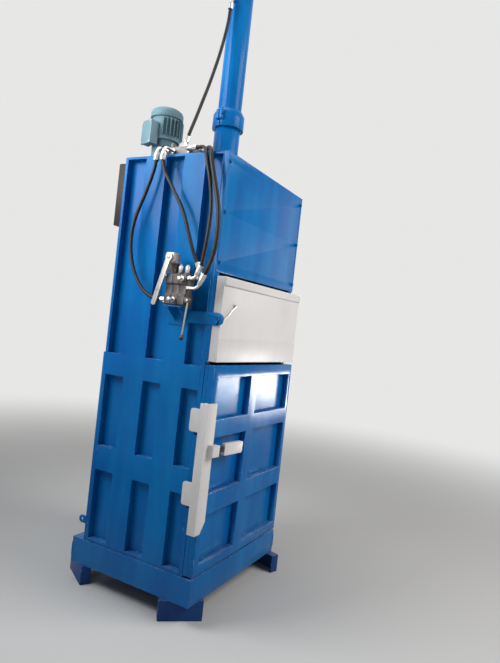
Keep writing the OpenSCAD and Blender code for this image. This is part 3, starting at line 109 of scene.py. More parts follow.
class Sheet:
    """A short way to write nodes: adds nodes to a tree and links them by socket name."""

    def __init__(self, tree):
        self.tree = tree

    def add(self, kind, values=(), **settings):
        """A node of a kind, with its sockets set to values or linked to other nodes' sockets."""
        node = self.tree.nodes.new("ShaderNode" + kind)
        for key, value in settings.items():
            setattr(node, key, value)
        for key, value in dict(values).items():
            if isinstance(value, bpy.types.NodeSocket):
                self.tree.links.new(value, node.inputs[key])
            else:
                node.inputs[key].default_value = value
        return node

    def place(self, stretch=(1, 1, 1)):
        """The object's own coordinates, stretched along its axes."""
        spot = self.add("TexCoord").outputs["Object"]
        return self.add("Mapping", {"Vector": spot, "Scale": stretch}).outputs["Vector"]

    def noise(self, scale, detail=3.0, rough=0.55, stretch=(1, 1, 1)):
        values = {"Vector": self.place(stretch), "Scale": scale, "Detail": detail, "Roughness": rough}
        return self.add("TexNoise", values).outputs["Fac"]

    def ramp(self, value, low, high, to_low=0.0, to_high=1.0):
        """A smooth step from one level to another as the value goes from low to high."""
        values = {"Value": value, "From Min": low, "From Max": high, "To Min": to_low, "To Max": to_high}
        return self.add("MapRange", values, interpolation_type="SMOOTHSTEP").outputs["Result"]

    def math(self, operation, a, b=0.0, clamp=False):
        return self.add("Math", {0: a, 1: b}, operation=operation, use_clamp=clamp).outputs[0]

    def blend(self, mask, a, b):
        """Colour a where the mask is 0 and colour b where it is 1."""
        node = self.add("Mix", data_type="RGBA")
        sockets = [s for s in node.inputs if s.enabled]
        for socket, value in zip(sockets, (mask, a, b)):
            if isinstance(value, bpy.types.NodeSocket):
                self.tree.links.new(value, socket)
            else:
                socket.default_value = value
        return [s for s in node.outputs if s.enabled][0]


world = bpy.data.worlds.new("studio")
world.use_nodes = True
scene.world = world
world.node_tree.nodes.clear()
sheet = Sheet(world.node_tree)
rays = sheet.add("LightPath").outputs
shown = sheet.math("ADD", rays["Is Camera Ray"], rays["Is Glossy Ray"])
shown = sheet.math("ADD", shown, rays["Is Transmission Ray"], clamp=True)
lit = sheet.add("Background", {"Color": sky, "Strength": sky_strength}).outputs[0]
seen = sheet.add("Background", {"Color": backdrop}).outputs[0]
sheet.add("OutputWorld", {"Surface": sheet.add("MixShader", {0: shown, 1: lit, 2: seen}).outputs[0]})


def lamp(name, place, aim, size, power, colour=(1, 1, 1), glare_only=False):
    """A rectangular area lamp at a place, turned towards the point that it lights. One for glare
    only shows in mirror images and lights nothing."""
    data = bpy.data.lights.new(name, "AREA")
    data.shape = "RECTANGLE"
    data.size, data.size_y = size
    data.energy = power
    data.color = colour
    away = np.array(place, float) - np.array(aim, float)
    away /= np.linalg.norm(away)
    side = np.cross([0.0, 0.0, 1.0], away)
    side /= np.linalg.norm(side)
    pose = np.eye(4)
    pose[:3, :4] = np.column_stack([side, np.cross(away, side), away, place])
    thing = bpy.data.objects.new(name, data)
    thing.matrix_world = Matrix(pose.tolist())
    thing.visible_camera = False
    thing.visible_diffuse = not glare_only
    scene.collection.objects.link(thing)


lamp("key_lamp", (0.9, -4.5, 4.6), (0, 0, 2.1), (3.0, 3.0), 235, (1.0, 0.98, 0.95))
lamp("side_lamp", (-1.95, 1.2, 3.3), (-0.5, 0, 3.0), (1.6, 1.6), 92, (0.93, 0.97, 1.0))
lamp("top_lamp", (-0.6, 0.8, 6.8), (0, 0, 2.0), (3.0, 3.0), 100)
lamp("tube_lamp", (-3.9, 0.9, 3.9), (0, 0, 3.1), (0.7, 1.8), 80, glare_only=True)
lamp("pane_lamp", (4.4, -2.6, 0.8), (0, -0.4, 1.3), (1.9, 0.5), 100, glare_only=True)

floor_mesh = bpy.data.meshes.new("floor")
corners = np.array([[-1, -1, 0], [1, -1, 0], [1, 1, 0], [-1, 1, 0]]) * floor_reach
floor_mesh.from_pydata(corners.tolist(), [], [(0, 1, 2, 3)])
floor = bpy.data.objects.new("floor", floor_mesh)
scene.collection.objects.link(floor)
paint = bpy.data.materials.new("floor")
paint.use_nodes = True
paint.node_tree.nodes.clear()
sheet = Sheet(paint.node_tree)
reach = sheet.add("VectorMath", {0: sheet.place()}, operation="LENGTH").outputs["Value"]
near = sheet.add("BsdfDiffuse", {"Color": floor_colour}).outputs[0]
far = sheet.add("Emission", {"Color": backdrop}).outputs[0]
faded = sheet.add("MixShader", {0: sheet.ramp(reach, *floor_fade), 1: near, 2: far}).outputs[0]
sheet.add("OutputMaterial", {"Surface": faded})
floor_mesh.materials.append(paint)

# Hoses
# Wire-braided hydraulic hose with a wrapped black rubber cover, pressed into ferrules at both ends.
# Two leave the block over the left wall, two over the front corner, and one climbs to the top of
# the cylinder. The points are those of the model.

hose_radius = 0.010
pressure_radius = 0.012
wrap_pitch = 0.0042
wrap_depth = 0.00012
hose_sides = 16
curve_steps = 5
crease_angle = 38
unused_direction = (0.98, 0.17, 0.1)
hose_routes = {
    "hose_a": [
        (-0.532, 0.080, 2.498), (-0.536, 0.092, 2.420), (-0.540, 0.130, 2.300), (-0.542, 0.178, 2.170),
        (-0.545, 0.190, 2.040), (-0.550, 0.158, 1.910), (-0.557, 0.090, 1.800), (-0.562, 0.000, 1.734),
        (-0.562, -0.084, 1.722),
    ],
    "hose_b": [
        (-0.532, 0.034, 2.498), (-0.534, 0.006, 2.428), (-0.540, -0.066, 2.330),
        (-0.548, -0.150, 2.215), (-0.553, -0.2097, 2.0899), (-0.547, -0.2457, 1.9969),
        (-0.541, -0.2807, 1.9299),
    ],
    "hose_c": [
        (-0.4609, -0.2107, 2.574), (-0.483, -0.236, 2.567), (-0.504, -0.259, 2.553),
        (-0.522, -0.278, 2.530), (-0.536, -0.292, 2.498), (-0.546, -0.311, 2.450),
        (-0.553, -0.333, 2.392), (-0.560, -0.357, 2.328), (-0.567, -0.3808, 2.262),
        (-0.573, -0.3988, 2.193), (-0.578, -0.4088, 2.122), (-0.581, -0.4108, 2.052),
        (-0.582, -0.4038, 1.985), (-0.582, -0.3868, 1.921), (-0.582, -0.3608, 1.867),
    ],
    "hose_d": [
        (-0.476, -0.150, 2.576), (-0.481, -0.172, 2.575), (-0.492, -0.197, 2.571),
        (-0.506, -0.219, 2.561), (-0.520, -0.239, 2.543), (-0.533, -0.256, 2.515),
        (-0.543, -0.273, 2.474), (-0.550, -0.292, 2.425), (-0.554, -0.311, 2.370),
        (-0.557, -0.328, 2.305), (-0.561, -0.3409, 2.2401), (-0.567, -0.3479, 2.1651),
        (-0.576, -0.3499, 2.0801), (-0.583, -0.3469, 1.9951), (-0.584, -0.3369, 1.9101),
    ],
    "hose_e": [
        (-0.392, -0.016, 2.6737), (-0.370, -0.016, 2.7297), (-0.337, -0.017, 2.8097),
        (-0.290, -0.018, 2.9297), (-0.245, -0.020, 3.0497), (-0.204, -0.021, 3.170),
        (-0.170, -0.022, 3.280), (-0.143, -0.023, 3.390), (-0.124, -0.024, 3.490),
        (-0.118, -0.024, 3.570),
    ],
}
front, back, left, right = (0, -1, 0), (0, 1, 0), (-1, 0, 0), (1, 0, 0)
down, rise = (0, 0, -1), (0, 0, 1)


def heading(degrees, first, second):
    """A direction between two square ones: cos(angle) * first + sin(angle) * second."""
    angle = np.radians(degrees)
    return np.cos(angle) * np.array(first, float) + np.sin(angle) * np.array(second, float)


hose_ends = {
    "hose_a": (down, front),
    "hose_b": (down, heading(115, back, down)),
    "hose_c": (heading(45, front, left), heading(65, back, down)),
    "hose_d": (front, heading(65, back, down)),
    "hose_e": (heading(21, rise, right), rise),
}


def smooth_path(points, steps):
    """Catmull-Rom curve through the points: a cubic between each two, sampled at even steps."""
    p = np.array(points, float)
    p = np.vstack([p[:1], p, p[-1:]])
    t = np.linspace(0, 1, steps, endpoint=False)[None, :, None]
    a, b, c, d = (p[i:len(p) - 3 + i, None, :] for i in range(4))
    slope = (c - a) * t
    bend = (2 * a - 5 * b + 4 * c - d) * t**2
    twist = (3 * b - a - 3 * c + d) * t**3
    curve = 0.5 * (2 * b + slope + bend + twist)
    return np.vstack([curve.reshape(-1, 3), p[-1:]])


def across(along):
    """Two unit directions square to each given one and to each other: side = along x a direction that
    nothing here runs in, and up = along x side."""
    along = along / np.linalg.norm(along, axis=-1, keepdims=True)
    side = np.cross(along, unused_direction)
    side /= np.linalg.norm(side, axis=-1, keepdims=True)
    return side, np.cross(along, side)


def rings(path, along, radius, sides):
    """Rings along paths: centre + radius * (cos(angle) * side + sin(angle) * up), square to the path.
    Path and along are arrays (tubes, rows, 3), and radius is one number or an array (tubes, rows)."""
    side, up = across(np.asarray(along, float))
    angle = np.linspace(0, 2 * np.pi, sides, endpoint=False)[:, None]
    ring = np.cos(angle) * side[..., None, :] + np.sin(angle) * up[..., None, :]
    radius = np.broadcast_to(radius, path.shape[:-1])[..., None, None]
    return path[..., None, :] + radius * ring


def surface(name, parts, material, body, smooth=True):
    """One mesh from closed tubes: neighbouring rows and sides make a quad, the end rows are capped.
    Each part is an array (tubes, rows, sides, 3). The UV map runs once round, and along in metres."""
    points, faces, uvs, start = [], [], [], 0
    for part in parts:
        tubes, rows, sides = part.shape[:3]
        index = start + np.arange(tubes * rows * sides).reshape(tubes, rows, sides)
        after = np.roll(index, -1, axis=2)
        quads = np.stack([index[:, :-1], after[:, :-1], after[:, 1:], index[:, 1:]], axis=-1)
        caps = np.concatenate([index[:, 0, ::-1], index[:, -1]])
        step = np.linalg.norm(np.diff(part.mean(axis=2), axis=1), axis=-1)
        far_along = np.concatenate([np.zeros((tubes, 1)), np.cumsum(step, axis=1)], axis=1)
        u = np.broadcast_to(np.arange(sides) / sides, (tubes, rows - 1, sides))
        low = np.broadcast_to(far_along[:, :-1, None], u.shape)
        high = np.broadcast_to(far_along[:, 1:, None], u.shape)
        corner_u = np.stack([u, u + 1 / sides, u + 1 / sides, u], axis=-1)
        corner_v = np.stack([low, low, high, high], axis=-1)
        faces += quads.reshape(-1, 4).tolist() + caps.tolist()
        uvs += [np.stack([corner_u, corner_v], axis=-1).reshape(-1), np.zeros(2 * caps.size)]
        points.append(part.reshape(-1, 3))
        start += index.size
    mesh = bpy.data.meshes.new(name)
    mesh.from_pydata(np.vstack(points).tolist(), [], faces)
    mesh.uv_layers.new(name="UVMap").data.foreach_set("uv", np.concatenate(uvs))
    mesh.polygons.foreach_set("use_smooth", np.full(len(mesh.polygons), smooth))
    if smooth:
        mesh.set_sharp_from_angle(angle=np.radians(crease_angle))
    mesh.materials.append(material)
    piece = bpy.data.objects.new(name, mesh)
    scene.collection.objects.link(piece)
    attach(piece, body)
    return piece


def finish(name, metallic=0.0, specular=0.5):
    """A material with its Principled shader, and the sheet that its nodes are written on."""
    material = bpy.data.materials.new(name)
    material.use_nodes = True
    shader = material.node_tree.nodes["Principled BSDF"]
    shader.inputs["Metallic"].default_value = metallic
    shader.inputs["Specular IOR Level"].default_value = specular
    sheet = Sheet(material.node_tree)

    def shade(colour, rough, height):
        """Links the colour, the roughness and a relief in metres to the shader."""
        sheet.tree.links.new(colour, shader.inputs["Base Color"])
        sheet.tree.links.new(rough, shader.inputs["Roughness"])
        relief = sheet.add("Bump", {"Height": height, "Strength": 1.0, "Distance": 1.0})
        sheet.tree.links.new(relief.outputs["Normal"], shader.inputs["Normal"])

    return material, sheet, shade


rubber, sheet, shade = finish("black_rubber", specular=0.2)
scuff = sheet.ramp(sheet.noise(34.0, 5.0), 0.5, 0.75)
around = sheet.add("SeparateXYZ", {0: sheet.add("UVMap").outputs["UV"]}).outputs
turns = sheet.math("ADD", sheet.math("MULTIPLY", around["Y"], 1 / wrap_pitch), around["X"])
wrap = sheet.math("SINE", sheet.math("MULTIPLY", turns, 2 * np.pi))
cover = sheet.blend(scuff, (0.011, 0.010, 0.010, 1), (0.032, 0.028, 0.026, 1))
shade(cover, sheet.ramp(scuff, 0.0, 1.0, 0.36, 0.6), sheet.math("MULTIPLY", wrap, wrap_depth))

for name, route in hose_routes.items():
    radius = pressure_radius if name == "hose_c" else hose_radius
    line = smooth_path(route, curve_steps)
    along = np.gradient(line, axis=0)
    along[0], along[-1] = hose_ends[name]
    tube = rings(line[None], along[None], radius, hose_sides)
    piece = surface("braided_" + name, [tube], rubber, "frame")
    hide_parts(name)

# Hose fittings
# Zinc-plated elbows with hexagon nuts. Each ferrule is a steel sleeve that eight jaws have pressed
# onto the hose, which leaves eight flats with a groove near each end.

ferrule_radius = 0.014
sleeve_length = 0.036
sleeve_rise = 0.0006
jaws = 8
groove_depth = 0.0012
weld_distance = 1e-5
flat_angle = 1.0
sharp_angle = 35
edge_steps = 2
small_edge = 0.0012
grain_depth = 0.0001
oil_brown = (0.16, 0.12, 0.09, 1)


def turned(places, direction, profile, sides):
    """Closed shells from a profile of (height, radius) pairs turned about a line through each place:
    place + height * direction + radius * (cos * side + sin * up). Six or eight sides give flats."""
    direction = np.asarray(direction, float) / np.linalg.norm(direction)
    height, radius = np.array(profile, float).T
    places = np.asarray(places, float).reshape(-1, 1, 3)
    path = places + height[None, :, None] * direction
    return rings(path, np.broadcast_to(direction, path.shape), radius[None], sides)


def welded_copy(node, whole=True):
    """A copy of a node's mesh with its double points merged and, if asked, its flat faces made whole."""
    mesh = nodes[node].data.copy()
    work = bmesh.new()
    work.from_mesh(mesh)
    bmesh.ops.remove_doubles(work, verts=work.verts, dist=weld_distance)
    if whole:
        limit = np.radians(flat_angle)
        bmesh.ops.dissolve_limit(work, angle_limit=limit, verts=work.verts, edges=work.edges)
    work.to_mesh(mesh)
    work.free()
    mesh.materials.clear()
    return mesh


def broken_edges(node, radius, material, whole=True):
    """A piece with the node's form, its edges broken by a radius. The new faces carry the attribute
    edge."""
    mesh = welded_copy(node, whole)
    piece = bpy.data.objects.new("finished_" + node, mesh)
    scene.collection.objects.link(piece)
    bevel = piece.modifiers.new("broken_edges", "BEVEL")
    bevel.width = radius
    bevel.segments = edge_steps
    bevel.limit_method = "ANGLE"
    bevel.angle_limit = np.radians(sharp_angle)
    bevel.harden_normals = True
    mesh.materials.append(material)
    mesh.materials.append(material)
    bevel.material = 1
    mesh.polygons.foreach_set("use_smooth", np.ones(len(mesh.polygons), bool))
    shown = piece.evaluated_get(bpy.context.evaluated_depsgraph_get())
    made = bpy.data.meshes.new_from_object(shown)
    piece.modifiers.clear()
    piece.data = made
    marks = np.zeros(len(made.polygons), np.int32)
    made.polygons.foreach_get("material_index", marks)
    made.attributes.new("edge", "FLOAT", "FACE").data.foreach_set("value", marks.astype(np.float32))
    made.polygons.foreach_set("material_index", np.zeros_like(marks))
    made.materials.clear()
    made.materials.append(material)
    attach(piece, nodes[node]["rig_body"])
    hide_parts(node)


def plated(name, colour, rough, grain=160.0, stain=0.5):
    """Zinc plate or worn steel: brushed tone, brown oil stains, fine grain in the relief."""
    material, sheet, shade = finish(name, metallic=1.0)
    grain_mask = sheet.noise(grain, 4.0, 0.6)
    oil = sheet.math("MULTIPLY", sheet.ramp(sheet.noise(22.0, 5.0), 0.48, 0.72), stain)
    tone = sheet.blend(grain_mask, (*colour, 1), tuple(0.82 * c for c in colour) + (1,))
    tone = sheet.blend(oil, tone, oil_brown)
    brushed = sheet.ramp(grain_mask, 0.3, 0.7, rough, rough + 0.14)
    dull = sheet.math("ADD", sheet.math("MULTIPLY", oil, 0.25), brushed)
    shade(tone, dull, sheet.math("MULTIPLY", grain_mask, grain_depth))
    return material


steel = plated("bright_steel", (0.66, 0.65, 0.63), 0.26)
broken_edges("pipe_fittings", small_edge, steel)

flats = (ferrule_radius + sleeve_rise) / np.cos(np.pi / jaws)
groove = flats - groove_depth
sleeve = [
    (0, groove), (0.001, flats), (0.007, flats), (0.008, groove),
    (0.010, groove), (0.011, flats), (0.025, flats), (0.026, groove),
    (0.028, groove), (0.029, flats), (0.035, flats), (sleeve_length, groove),
]
sleeves = []
for name, (leaves, enters) in hose_ends.items():
    first = np.array(hose_routes[name][0])
    last = np.array(hose_routes[name][-1])
    sleeves.append(turned([first - sleeve_length * np.array(leaves)], leaves, sleeve, jaws))
    sleeves.append(turned([last], enters, sleeve, jaws))
surface("pressed_ferrules", sleeves, steel, "frame", smooth=False)

# Base
# A skirt of channel rails with mitred and welded corners and two cross members, on four feet with
# top plates, sprayed in gloss blue enamel. The feet are a darker blue, which is painted shade from the
# base above them.

sheet_edge = 0.0025
mitre_inset = 0.012
mitre_bead = 0.0024
mitre_run = 0.13
bead_radius = 0.0032
bead_run = 0.045
bead_spacing = 0.2
bead_ripple = 0.007
ripple_share = 0.13
bead_rows = 21
bead_sides = 6
bead_ends = 0.995
seam_share = 0.7
paint_depth = 0.0002
grime_brown = (0.075, 0.066, 0.055, 1)
dust_grey = (0.34, 0.31, 0.27, 1)
deep_blue = (0.001, 0.100, 0.335)
light_blue = (0.002, 0.160, 0.430)
bare_metal = (0.30, 0.29, 0.28)
# The feet's two blues are darker than the body's: painted shade for the shadow under the base.
shaded_foot_blue = (0.001, 0.048, 0.20)
thin_shaded_foot_blue = (0.002, 0.064, 0.25)
worn_foot = (0.25, 0.22, 0.20)


def effect(name, result, **amounts):
    """A node group with float inputs of the given values and one float output. Returns the group, its
    sheet, its inputs and a function that takes the result."""
    group = bpy.data.node_groups.new(name, "ShaderNodeTree")
    for key, value in amounts.items():
        socket = group.interface.new_socket(key, in_out="INPUT", socket_type="NodeSocketFloat")
        socket.default_value = value
    group.interface.new_socket(result, in_out="OUTPUT", socket_type="NodeSocketFloat")
    into = group.nodes.new("NodeGroupInput")
    onto = group.nodes.new("NodeGroupOutput")
    return group, Sheet(group), into.outputs, lambda value: group.links.new(value, onto.inputs[result])


# Height in metres: upright waves of the hand-finished sheet plus the fine orange peel of the spray
sprayed, sheet, given, give = effect("Sprayed Sheet", "Height", Swell=0.0012, Peel=0.00005)
swell = sheet.math("ADD", sheet.noise(2.1, 1.0), sheet.noise(6.5, 1.0, 0.5, (1, 1, 0.22)))
peel = sheet.math("MULTIPLY", sheet.noise(190.0, 1.0), given["Peel"])
give(sheet.math("ADD", sheet.math("MULTIPLY", swell, given["Swell"]), peel))

# Mask of patches and downward runs of grime, stronger near the floor
grimed, sheet, given, give = effect("Shop Grime", "Mask", Amount=0.5, Low=0.35)
patches = sheet.ramp(sheet.noise(3.1, 6.0, 0.62), 0.50, 0.78)
runs = sheet.ramp(sheet.noise(26.0, 4.0, 0.6, (1, 1, 0.06)), 0.56, 0.80)
height = sheet.add("SeparateXYZ", {0: sheet.place()}).outputs["Z"]
low = sheet.math("MULTIPLY", sheet.ramp(height, 0.55, 0.02), given["Low"])
both = sheet.math("MAXIMUM", patches, sheet.math("MULTIPLY", runs, 0.7))
give(sheet.math("ADD", sheet.math("MULTIPLY", both, given["Amount"]), low, clamp=True))

# Mask of dust on faces that look up
dusted, sheet, given, give = effect("Settled Dust", "Mask", Amount=0.5)
facing = sheet.add("SeparateXYZ", {0: sheet.add("TexCoord").outputs["Normal"]}).outputs["Z"]
settled = sheet.ramp(sheet.noise(9.0, 5.0), 0.30, 0.72)
lying = sheet.math("MULTIPLY", sheet.ramp(facing, 0.55, 0.98), settled)
give(sheet.math("MULTIPLY", lying, given["Amount"], clamp=True))

# Mask of chipped spots: on the faces of broken edges, and now and then in the open
chipped, sheet, given, give = effect("Chipped Paint", "Mask", Edges=0.5, Spots=0.5)
edge = sheet.add("Attribute", attribute_name="edge").outputs["Fac"]
nicks = sheet.math("MULTIPLY", sheet.ramp(sheet.noise(38.0, 6.0, 0.7), 0.56, 0.60), edge)
spots = sheet.ramp(sheet.noise(17.0, 8.0, 0.75), 0.735, 0.745)
nicks = sheet.math("MULTIPLY", nicks, given["Edges"])
give(sheet.math("MAXIMUM", nicks, sheet.math("MULTIPLY", spots, given["Spots"])))


def use(sheet, group, result, **amounts):
    """Places an effect in a material with its own amounts."""
    node = sheet.add("Group", node_tree=group)
    for key, value in amounts.items():
        node.inputs[key].default_value = value
    return node.outputs[result]


def enamel(name, colour, thin, bare, grime, chips, rough=0.17, swell=0.0011, specular=0.09):
    """Sprayed gloss enamel: two tones of one colour in clouds and upright streaks, with grime, dust
    and chips to the bare metal."""
    material, sheet, shade = finish(name, specular=specular)
    clouds = sheet.math("MULTIPLY", sheet.ramp(sheet.noise(1.7, 4.0), 0.35, 0.7), 0.6)
    streaks = sheet.math("MULTIPLY", sheet.ramp(sheet.noise(9.0, 3.0, 0.5, (1, 1, 0.16)), 0.42, 0.68), 0.5)
    dirt = use(sheet, grimed, "Mask", Amount=grime, Low=0.45)
    dust = use(sheet, dusted, "Mask", Amount=0.4)
    nicks = use(sheet, chipped, "Mask", Edges=chips, Spots=chips)
    tone = sheet.blend(sheet.math("ADD", clouds, streaks, clamp=True), (*colour, 1), (*thin, 1))
    tone = sheet.blend(sheet.math("MULTIPLY", dirt, 0.4), tone, grime_brown)
    tone = sheet.blend(sheet.math("MULTIPLY", dust, 0.5), tone, dust_grey)
    tone = sheet.blend(nicks, tone, (*bare, 1))
    dull = sheet.math("ADD", sheet.math("MULTIPLY", dirt, 0.3), sheet.math("MULTIPLY", dust, 0.35))
    sheen = sheet.ramp(sheet.noise(6.0, 3.0), 0.3, 0.8, rough, rough + 0.12)
    matt = sheet.math("ADD", dull, sheen, clamp=True)
    relief = use(sheet, sprayed, "Height", Swell=swell)
    shade(tone, matt, sheet.math("SUBTRACT", relief, sheet.math("MULTIPLY", nicks, paint_depth)))
    return material


def coat(material, *names):
    """Gives plain nodes their finish as they are."""
    for node in names:
        nodes[node].data.materials.clear()
        nodes[node].data.materials.append(material)


def stitches(lines, radius=bead_radius, stitch=bead_run, spacing=bead_spacing):
    """Half-sunk weld beads centred along lines, of radius * (1 - s^8)^(1/2) * (1 + share * sin(2 pi x /
    ripple)), where s runs from -1 to 1 over the bead and x is the distance from its middle."""
    start, step = lines[:, 0], lines[:, 1] - lines[:, 0]
    run = np.linalg.norm(step, axis=1)
    count = np.maximum(1, np.round(run / spacing)).astype(int)
    line = np.repeat(np.arange(len(run)), count)
    turn_in_line = np.arange(len(line)) - np.repeat(np.cumsum(count) - count, count)
    share = (turn_in_line + 0.5) / count[line]
    along = step[line] / run[line, None]
    half = np.minimum(stitch, seam_share * run[line]) / 2
    s = np.linspace(-bead_ends, bead_ends, bead_rows)
    x = half[:, None] * s
    path = (start[line] + share[:, None] * step[line])[:, None] + x[:, :, None] * along[:, None]
    size = radius * np.sqrt(1 - s**8) * (1 + ripple_share * np.sin(2 * np.pi * x / bead_ripple))
    return rings(path, np.broadcast_to(along[:, None], path.shape), size, bead_sides)


blue = enamel("blue_enamel", deep_blue, light_blue, bare_metal, grime=0.10, chips=0.6)
# The feet's enamel is darker to paint in the shade under the base; its grime and chips are real wear.
shaded_foot_enamel = enamel("dark_blue_enamel", shaded_foot_blue, thin_shaded_foot_blue, worn_foot, grime=0.3, chips=1.0)

broken_edges("base_rails", sheet_edge, blue)
broken_edges("feet", sheet_edge, shaded_foot_enamel)
base_lo, base_hi = np.array(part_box("base_rails"))
mitres = np.array([[[x, y, base_lo[2] + mitre_inset], [x, y, base_hi[2] - mitre_inset]]
                   for x in (base_lo[0], base_hi[0]) for y in (base_lo[1], base_hi[1])])
surface("mitre_welds", [stitches(mitres, mitre_bead, mitre_run)], blue, "frame")

# Floor and lining
# Floor slats with a slot for each tie wire, and flat liner plates inside the ribs at both sides and
# at the back, welded to the posts.

coat(blue, "floor_slats", "side_liners", "back_liner", "feed_jambs")

# Body
# Corner posts, and walls of pressed sheet whose upright and cross ribs leave windows down to the
# liner. Stitch welds run along the foot of each rib. Eyes for a lifting chain sit low at the back.

shortest_seam = 0.05
same_plane = 3e-4
thickest_sheet = 0.007
lug_seam = 0.015
lug_weld = (0.003, 0.03, 0.04)


def seam_lines(node, axis, level, shortest=shortest_seam):
    """The edges of a node that lie in one plane, as pairs of ends: where it is welded to its neighbour.
    Of two that run side by side, as on both faces of a sheet, the shorter one is the one in the open."""
    mesh = welded_copy(node)
    points = np.empty(3 * len(mesh.vertices))
    mesh.vertices.foreach_get("co", points)
    pairs = np.empty(2 * len(mesh.edges), np.int32)
    mesh.edges.foreach_get("vertices", pairs)
    ends = points.reshape(-1, 3)[pairs.reshape(-1, 2)]
    run = np.linalg.norm(ends[:, 1] - ends[:, 0], axis=1)
    chosen = (abs(ends[:, :, axis] - level) < same_plane).all(axis=1) & (run > shortest)
    ends, run = ends[chosen], run[chosen]
    middle = ends.mean(axis=1)
    beside = np.linalg.norm(middle[:, None] - middle[None], axis=2) < thickest_sheet
    return ends[~(beside & (run[None, :] < run[:, None] - weld_distance)).any(axis=1)]


for node in ("corner_posts", "side_wall_left", "side_wall_right", "back_ribs", "rear_lugs"):
    broken_edges(node, sheet_edge, blue)
liner_lo, liner_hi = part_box("side_liners")
post_lo, post_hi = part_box("corner_posts")
body_welds = [
    stitches(seam_lines("side_wall_left", 0, liner_lo[0])),
    stitches(seam_lines("side_wall_right", 0, liner_hi[0])),
    stitches(seam_lines("back_ribs", 1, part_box("back_liner")[1][1])),
    stitches(seam_lines("rear_lugs", 1, post_hi[1], lug_seam), *lug_weld),
]
surface("body_welds", body_welds, blue, "frame")

# Front cover
# One folded plate over the press chamber, held at its edges by hexagon bolts with washers that
# were painted with it.

folded_edge = 0.002
broken_edges("front_cover", folded_edge, blue)
broken_edges("cover_bolts", small_edge, blue)

# Head and cylinder
# Two head beams carry a bolted plate with a gusseted sleeve. The barrel stands in the sleeve under a
# split clamp collar, with a bronze gland below and a chromed rod. Ring welds close foot and top.

ram_y = -0.024
ring_bead = 0.0035
ring_steps = 181
ring_welds = [(2.556, 0.0815), (3.766, 0.075)]

for node in ("head_beams", "cylinder_mount", "cylinder_barrel", "clamp_collar"):
    broken_edges(node, sheet_edge, blue)
coat(blue, "top_plate")
broken_edges("mount_bolts", small_edge, steel)
chrome = plated("hard_chrome", (0.78, 0.79, 0.8), 0.07, 400.0, 0.1)
bronze = plated("bronze", (0.62, 0.42, 0.22), 0.3)
coat(bronze, "cylinder_gland")
coat(chrome, "piston_rod")


def ring_weld(level, radius):
    """A bead once round an upright tube, on a circle: bead * (1 + share * sin(2 pi x / ripple)) thick,
    where x is the way round."""
    angle = np.linspace(0, 2 * np.pi, ring_steps)
    flat = np.zeros_like(angle)
    path = np.column_stack([radius * np.cos(angle), ram_y + radius * np.sin(angle), flat + level])
    along = np.column_stack([-np.sin(angle), np.cos(angle), flat])
    size = ring_bead * (1 + ripple_share * np.sin(2 * np.pi * radius * angle / bead_ripple))
    return rings(path[None], along[None], size[None], bead_sides)


surface("ring_welds", [ring_weld(*ring) for ring in ring_welds], blue, "frame")

# Tank and power unit
# A folded oil tank with a screwed lid hangs behind the body. The motor stands on the top plate with
# its pump below, its finned body in grey-green paint. The hose block is a machined iron casting.

screw_head = [(0, 0.0048), (0.0032, 0.0048), (0.0040, 0.0040)]
hexagon, round_head = 6, 12
screw_inset = 0.014
screws_along = 6
motor_spot = np.array([-0.33, 0.202, 0])
box_turn = 163
box_reach = 0.135
box_side = 0.039
box_levels = (2.641, 2.759)
iron_grey = (0.105, 0.092, 0.085)
pale_aluminium = (0.46, 0.43, 0.39, 1)
pit_depth = 0.0006
tank_brown, thin_brown, rust = (0.035, 0.028, 0.024), (0.045, 0.036, 0.03), (0.2, 0.18, 0.16)
grey_green, thin_green, bare_iron = (0.115, 0.20, 0.235), (0.15, 0.25, 0.29), (0.3, 0.3, 0.3)

brown = enamel("brown_enamel", tank_brown, thin_brown, rust, grime=0.5, chips=0.6, rough=0.4)
motor_green = enamel("motor_enamel", grey_green, thin_green, bare_iron, grime=0.45, chips=0.8, rough=0.34)
for node in ("oil_tank", "tank_lid"):
    broken_edges(node, folded_edge, brown)
for node in ("motor_bell", "motor_stator", "fan_cover", "terminal_box"):
    broken_edges(node, folded_edge, motor_green)

lid_lo, lid_hi = np.array(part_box("tank_lid"))
lid_screws = [(x, y, lid_hi[2]) for y in (lid_lo[1] + screw_inset, lid_hi[1] - screw_inset)
              for x in np.linspace(lid_lo[0] + screw_inset, lid_hi[0] - screw_inset, screws_along)]
heads = turned(lid_screws, rise, screw_head, hexagon)
surface("lid_screws", [heads], steel, "frame", smooth=False)

outward = heading(box_turn, right, back)
sideways = heading(box_turn + 90, right, back)
box_screws = [motor_spot + box_reach * outward + side * sideways + [0, 0, level]
              for side in (-box_side, box_side) for level in box_levels]
heads = turned(box_screws, outward, screw_head, round_head)
surface("box_screws", [heads], steel, "frame", smooth=False)


def cast(name, colour, rough, pale_above=None):
    """Rough iron: dark skin with lighter rubbed crests and a pitted relief. Above the height given, if
    any, the casting is of pale aluminium."""
    material, sheet, shade = finish(name, metallic=0.35)
    pits = sheet.noise(140.0, 6.0, 0.65)
    rub = sheet.ramp(sheet.noise(20.0, 5.0), 0.45, 0.7)
    tone = sheet.blend(rub, (*colour, 1), tuple(min(1, 1.7 * c) for c in colour) + (1,))
    if pale_above:
        height = sheet.add("SeparateXYZ", {0: sheet.place()}).outputs["Z"]
        tone = sheet.blend(sheet.ramp(height, pale_above, pale_above + 0.001), tone, pale_aluminium)
    shade(tone, sheet.ramp(pits, 0.3, 0.7, rough, rough + 0.2), sheet.math("MULTIPLY", pits, pit_depth))
    return material


iron = cast("cast_iron", iron_grey, 0.42)
broken_edges("manifold", folded_edge, iron)
coat(iron, "pump")

# Valve
# A sectional lever valve of cast iron on a welded shelf, with plated caps and plugs. The spool lever
# ends in a black knob, and a flat steel lever hangs at the outer side.

bonnet_foot = 1.917
spark_depth = 0.00012
valve_grey = (0.075, 0.066, 0.062)
lever_grey = (0.52, 0.50, 0.47)

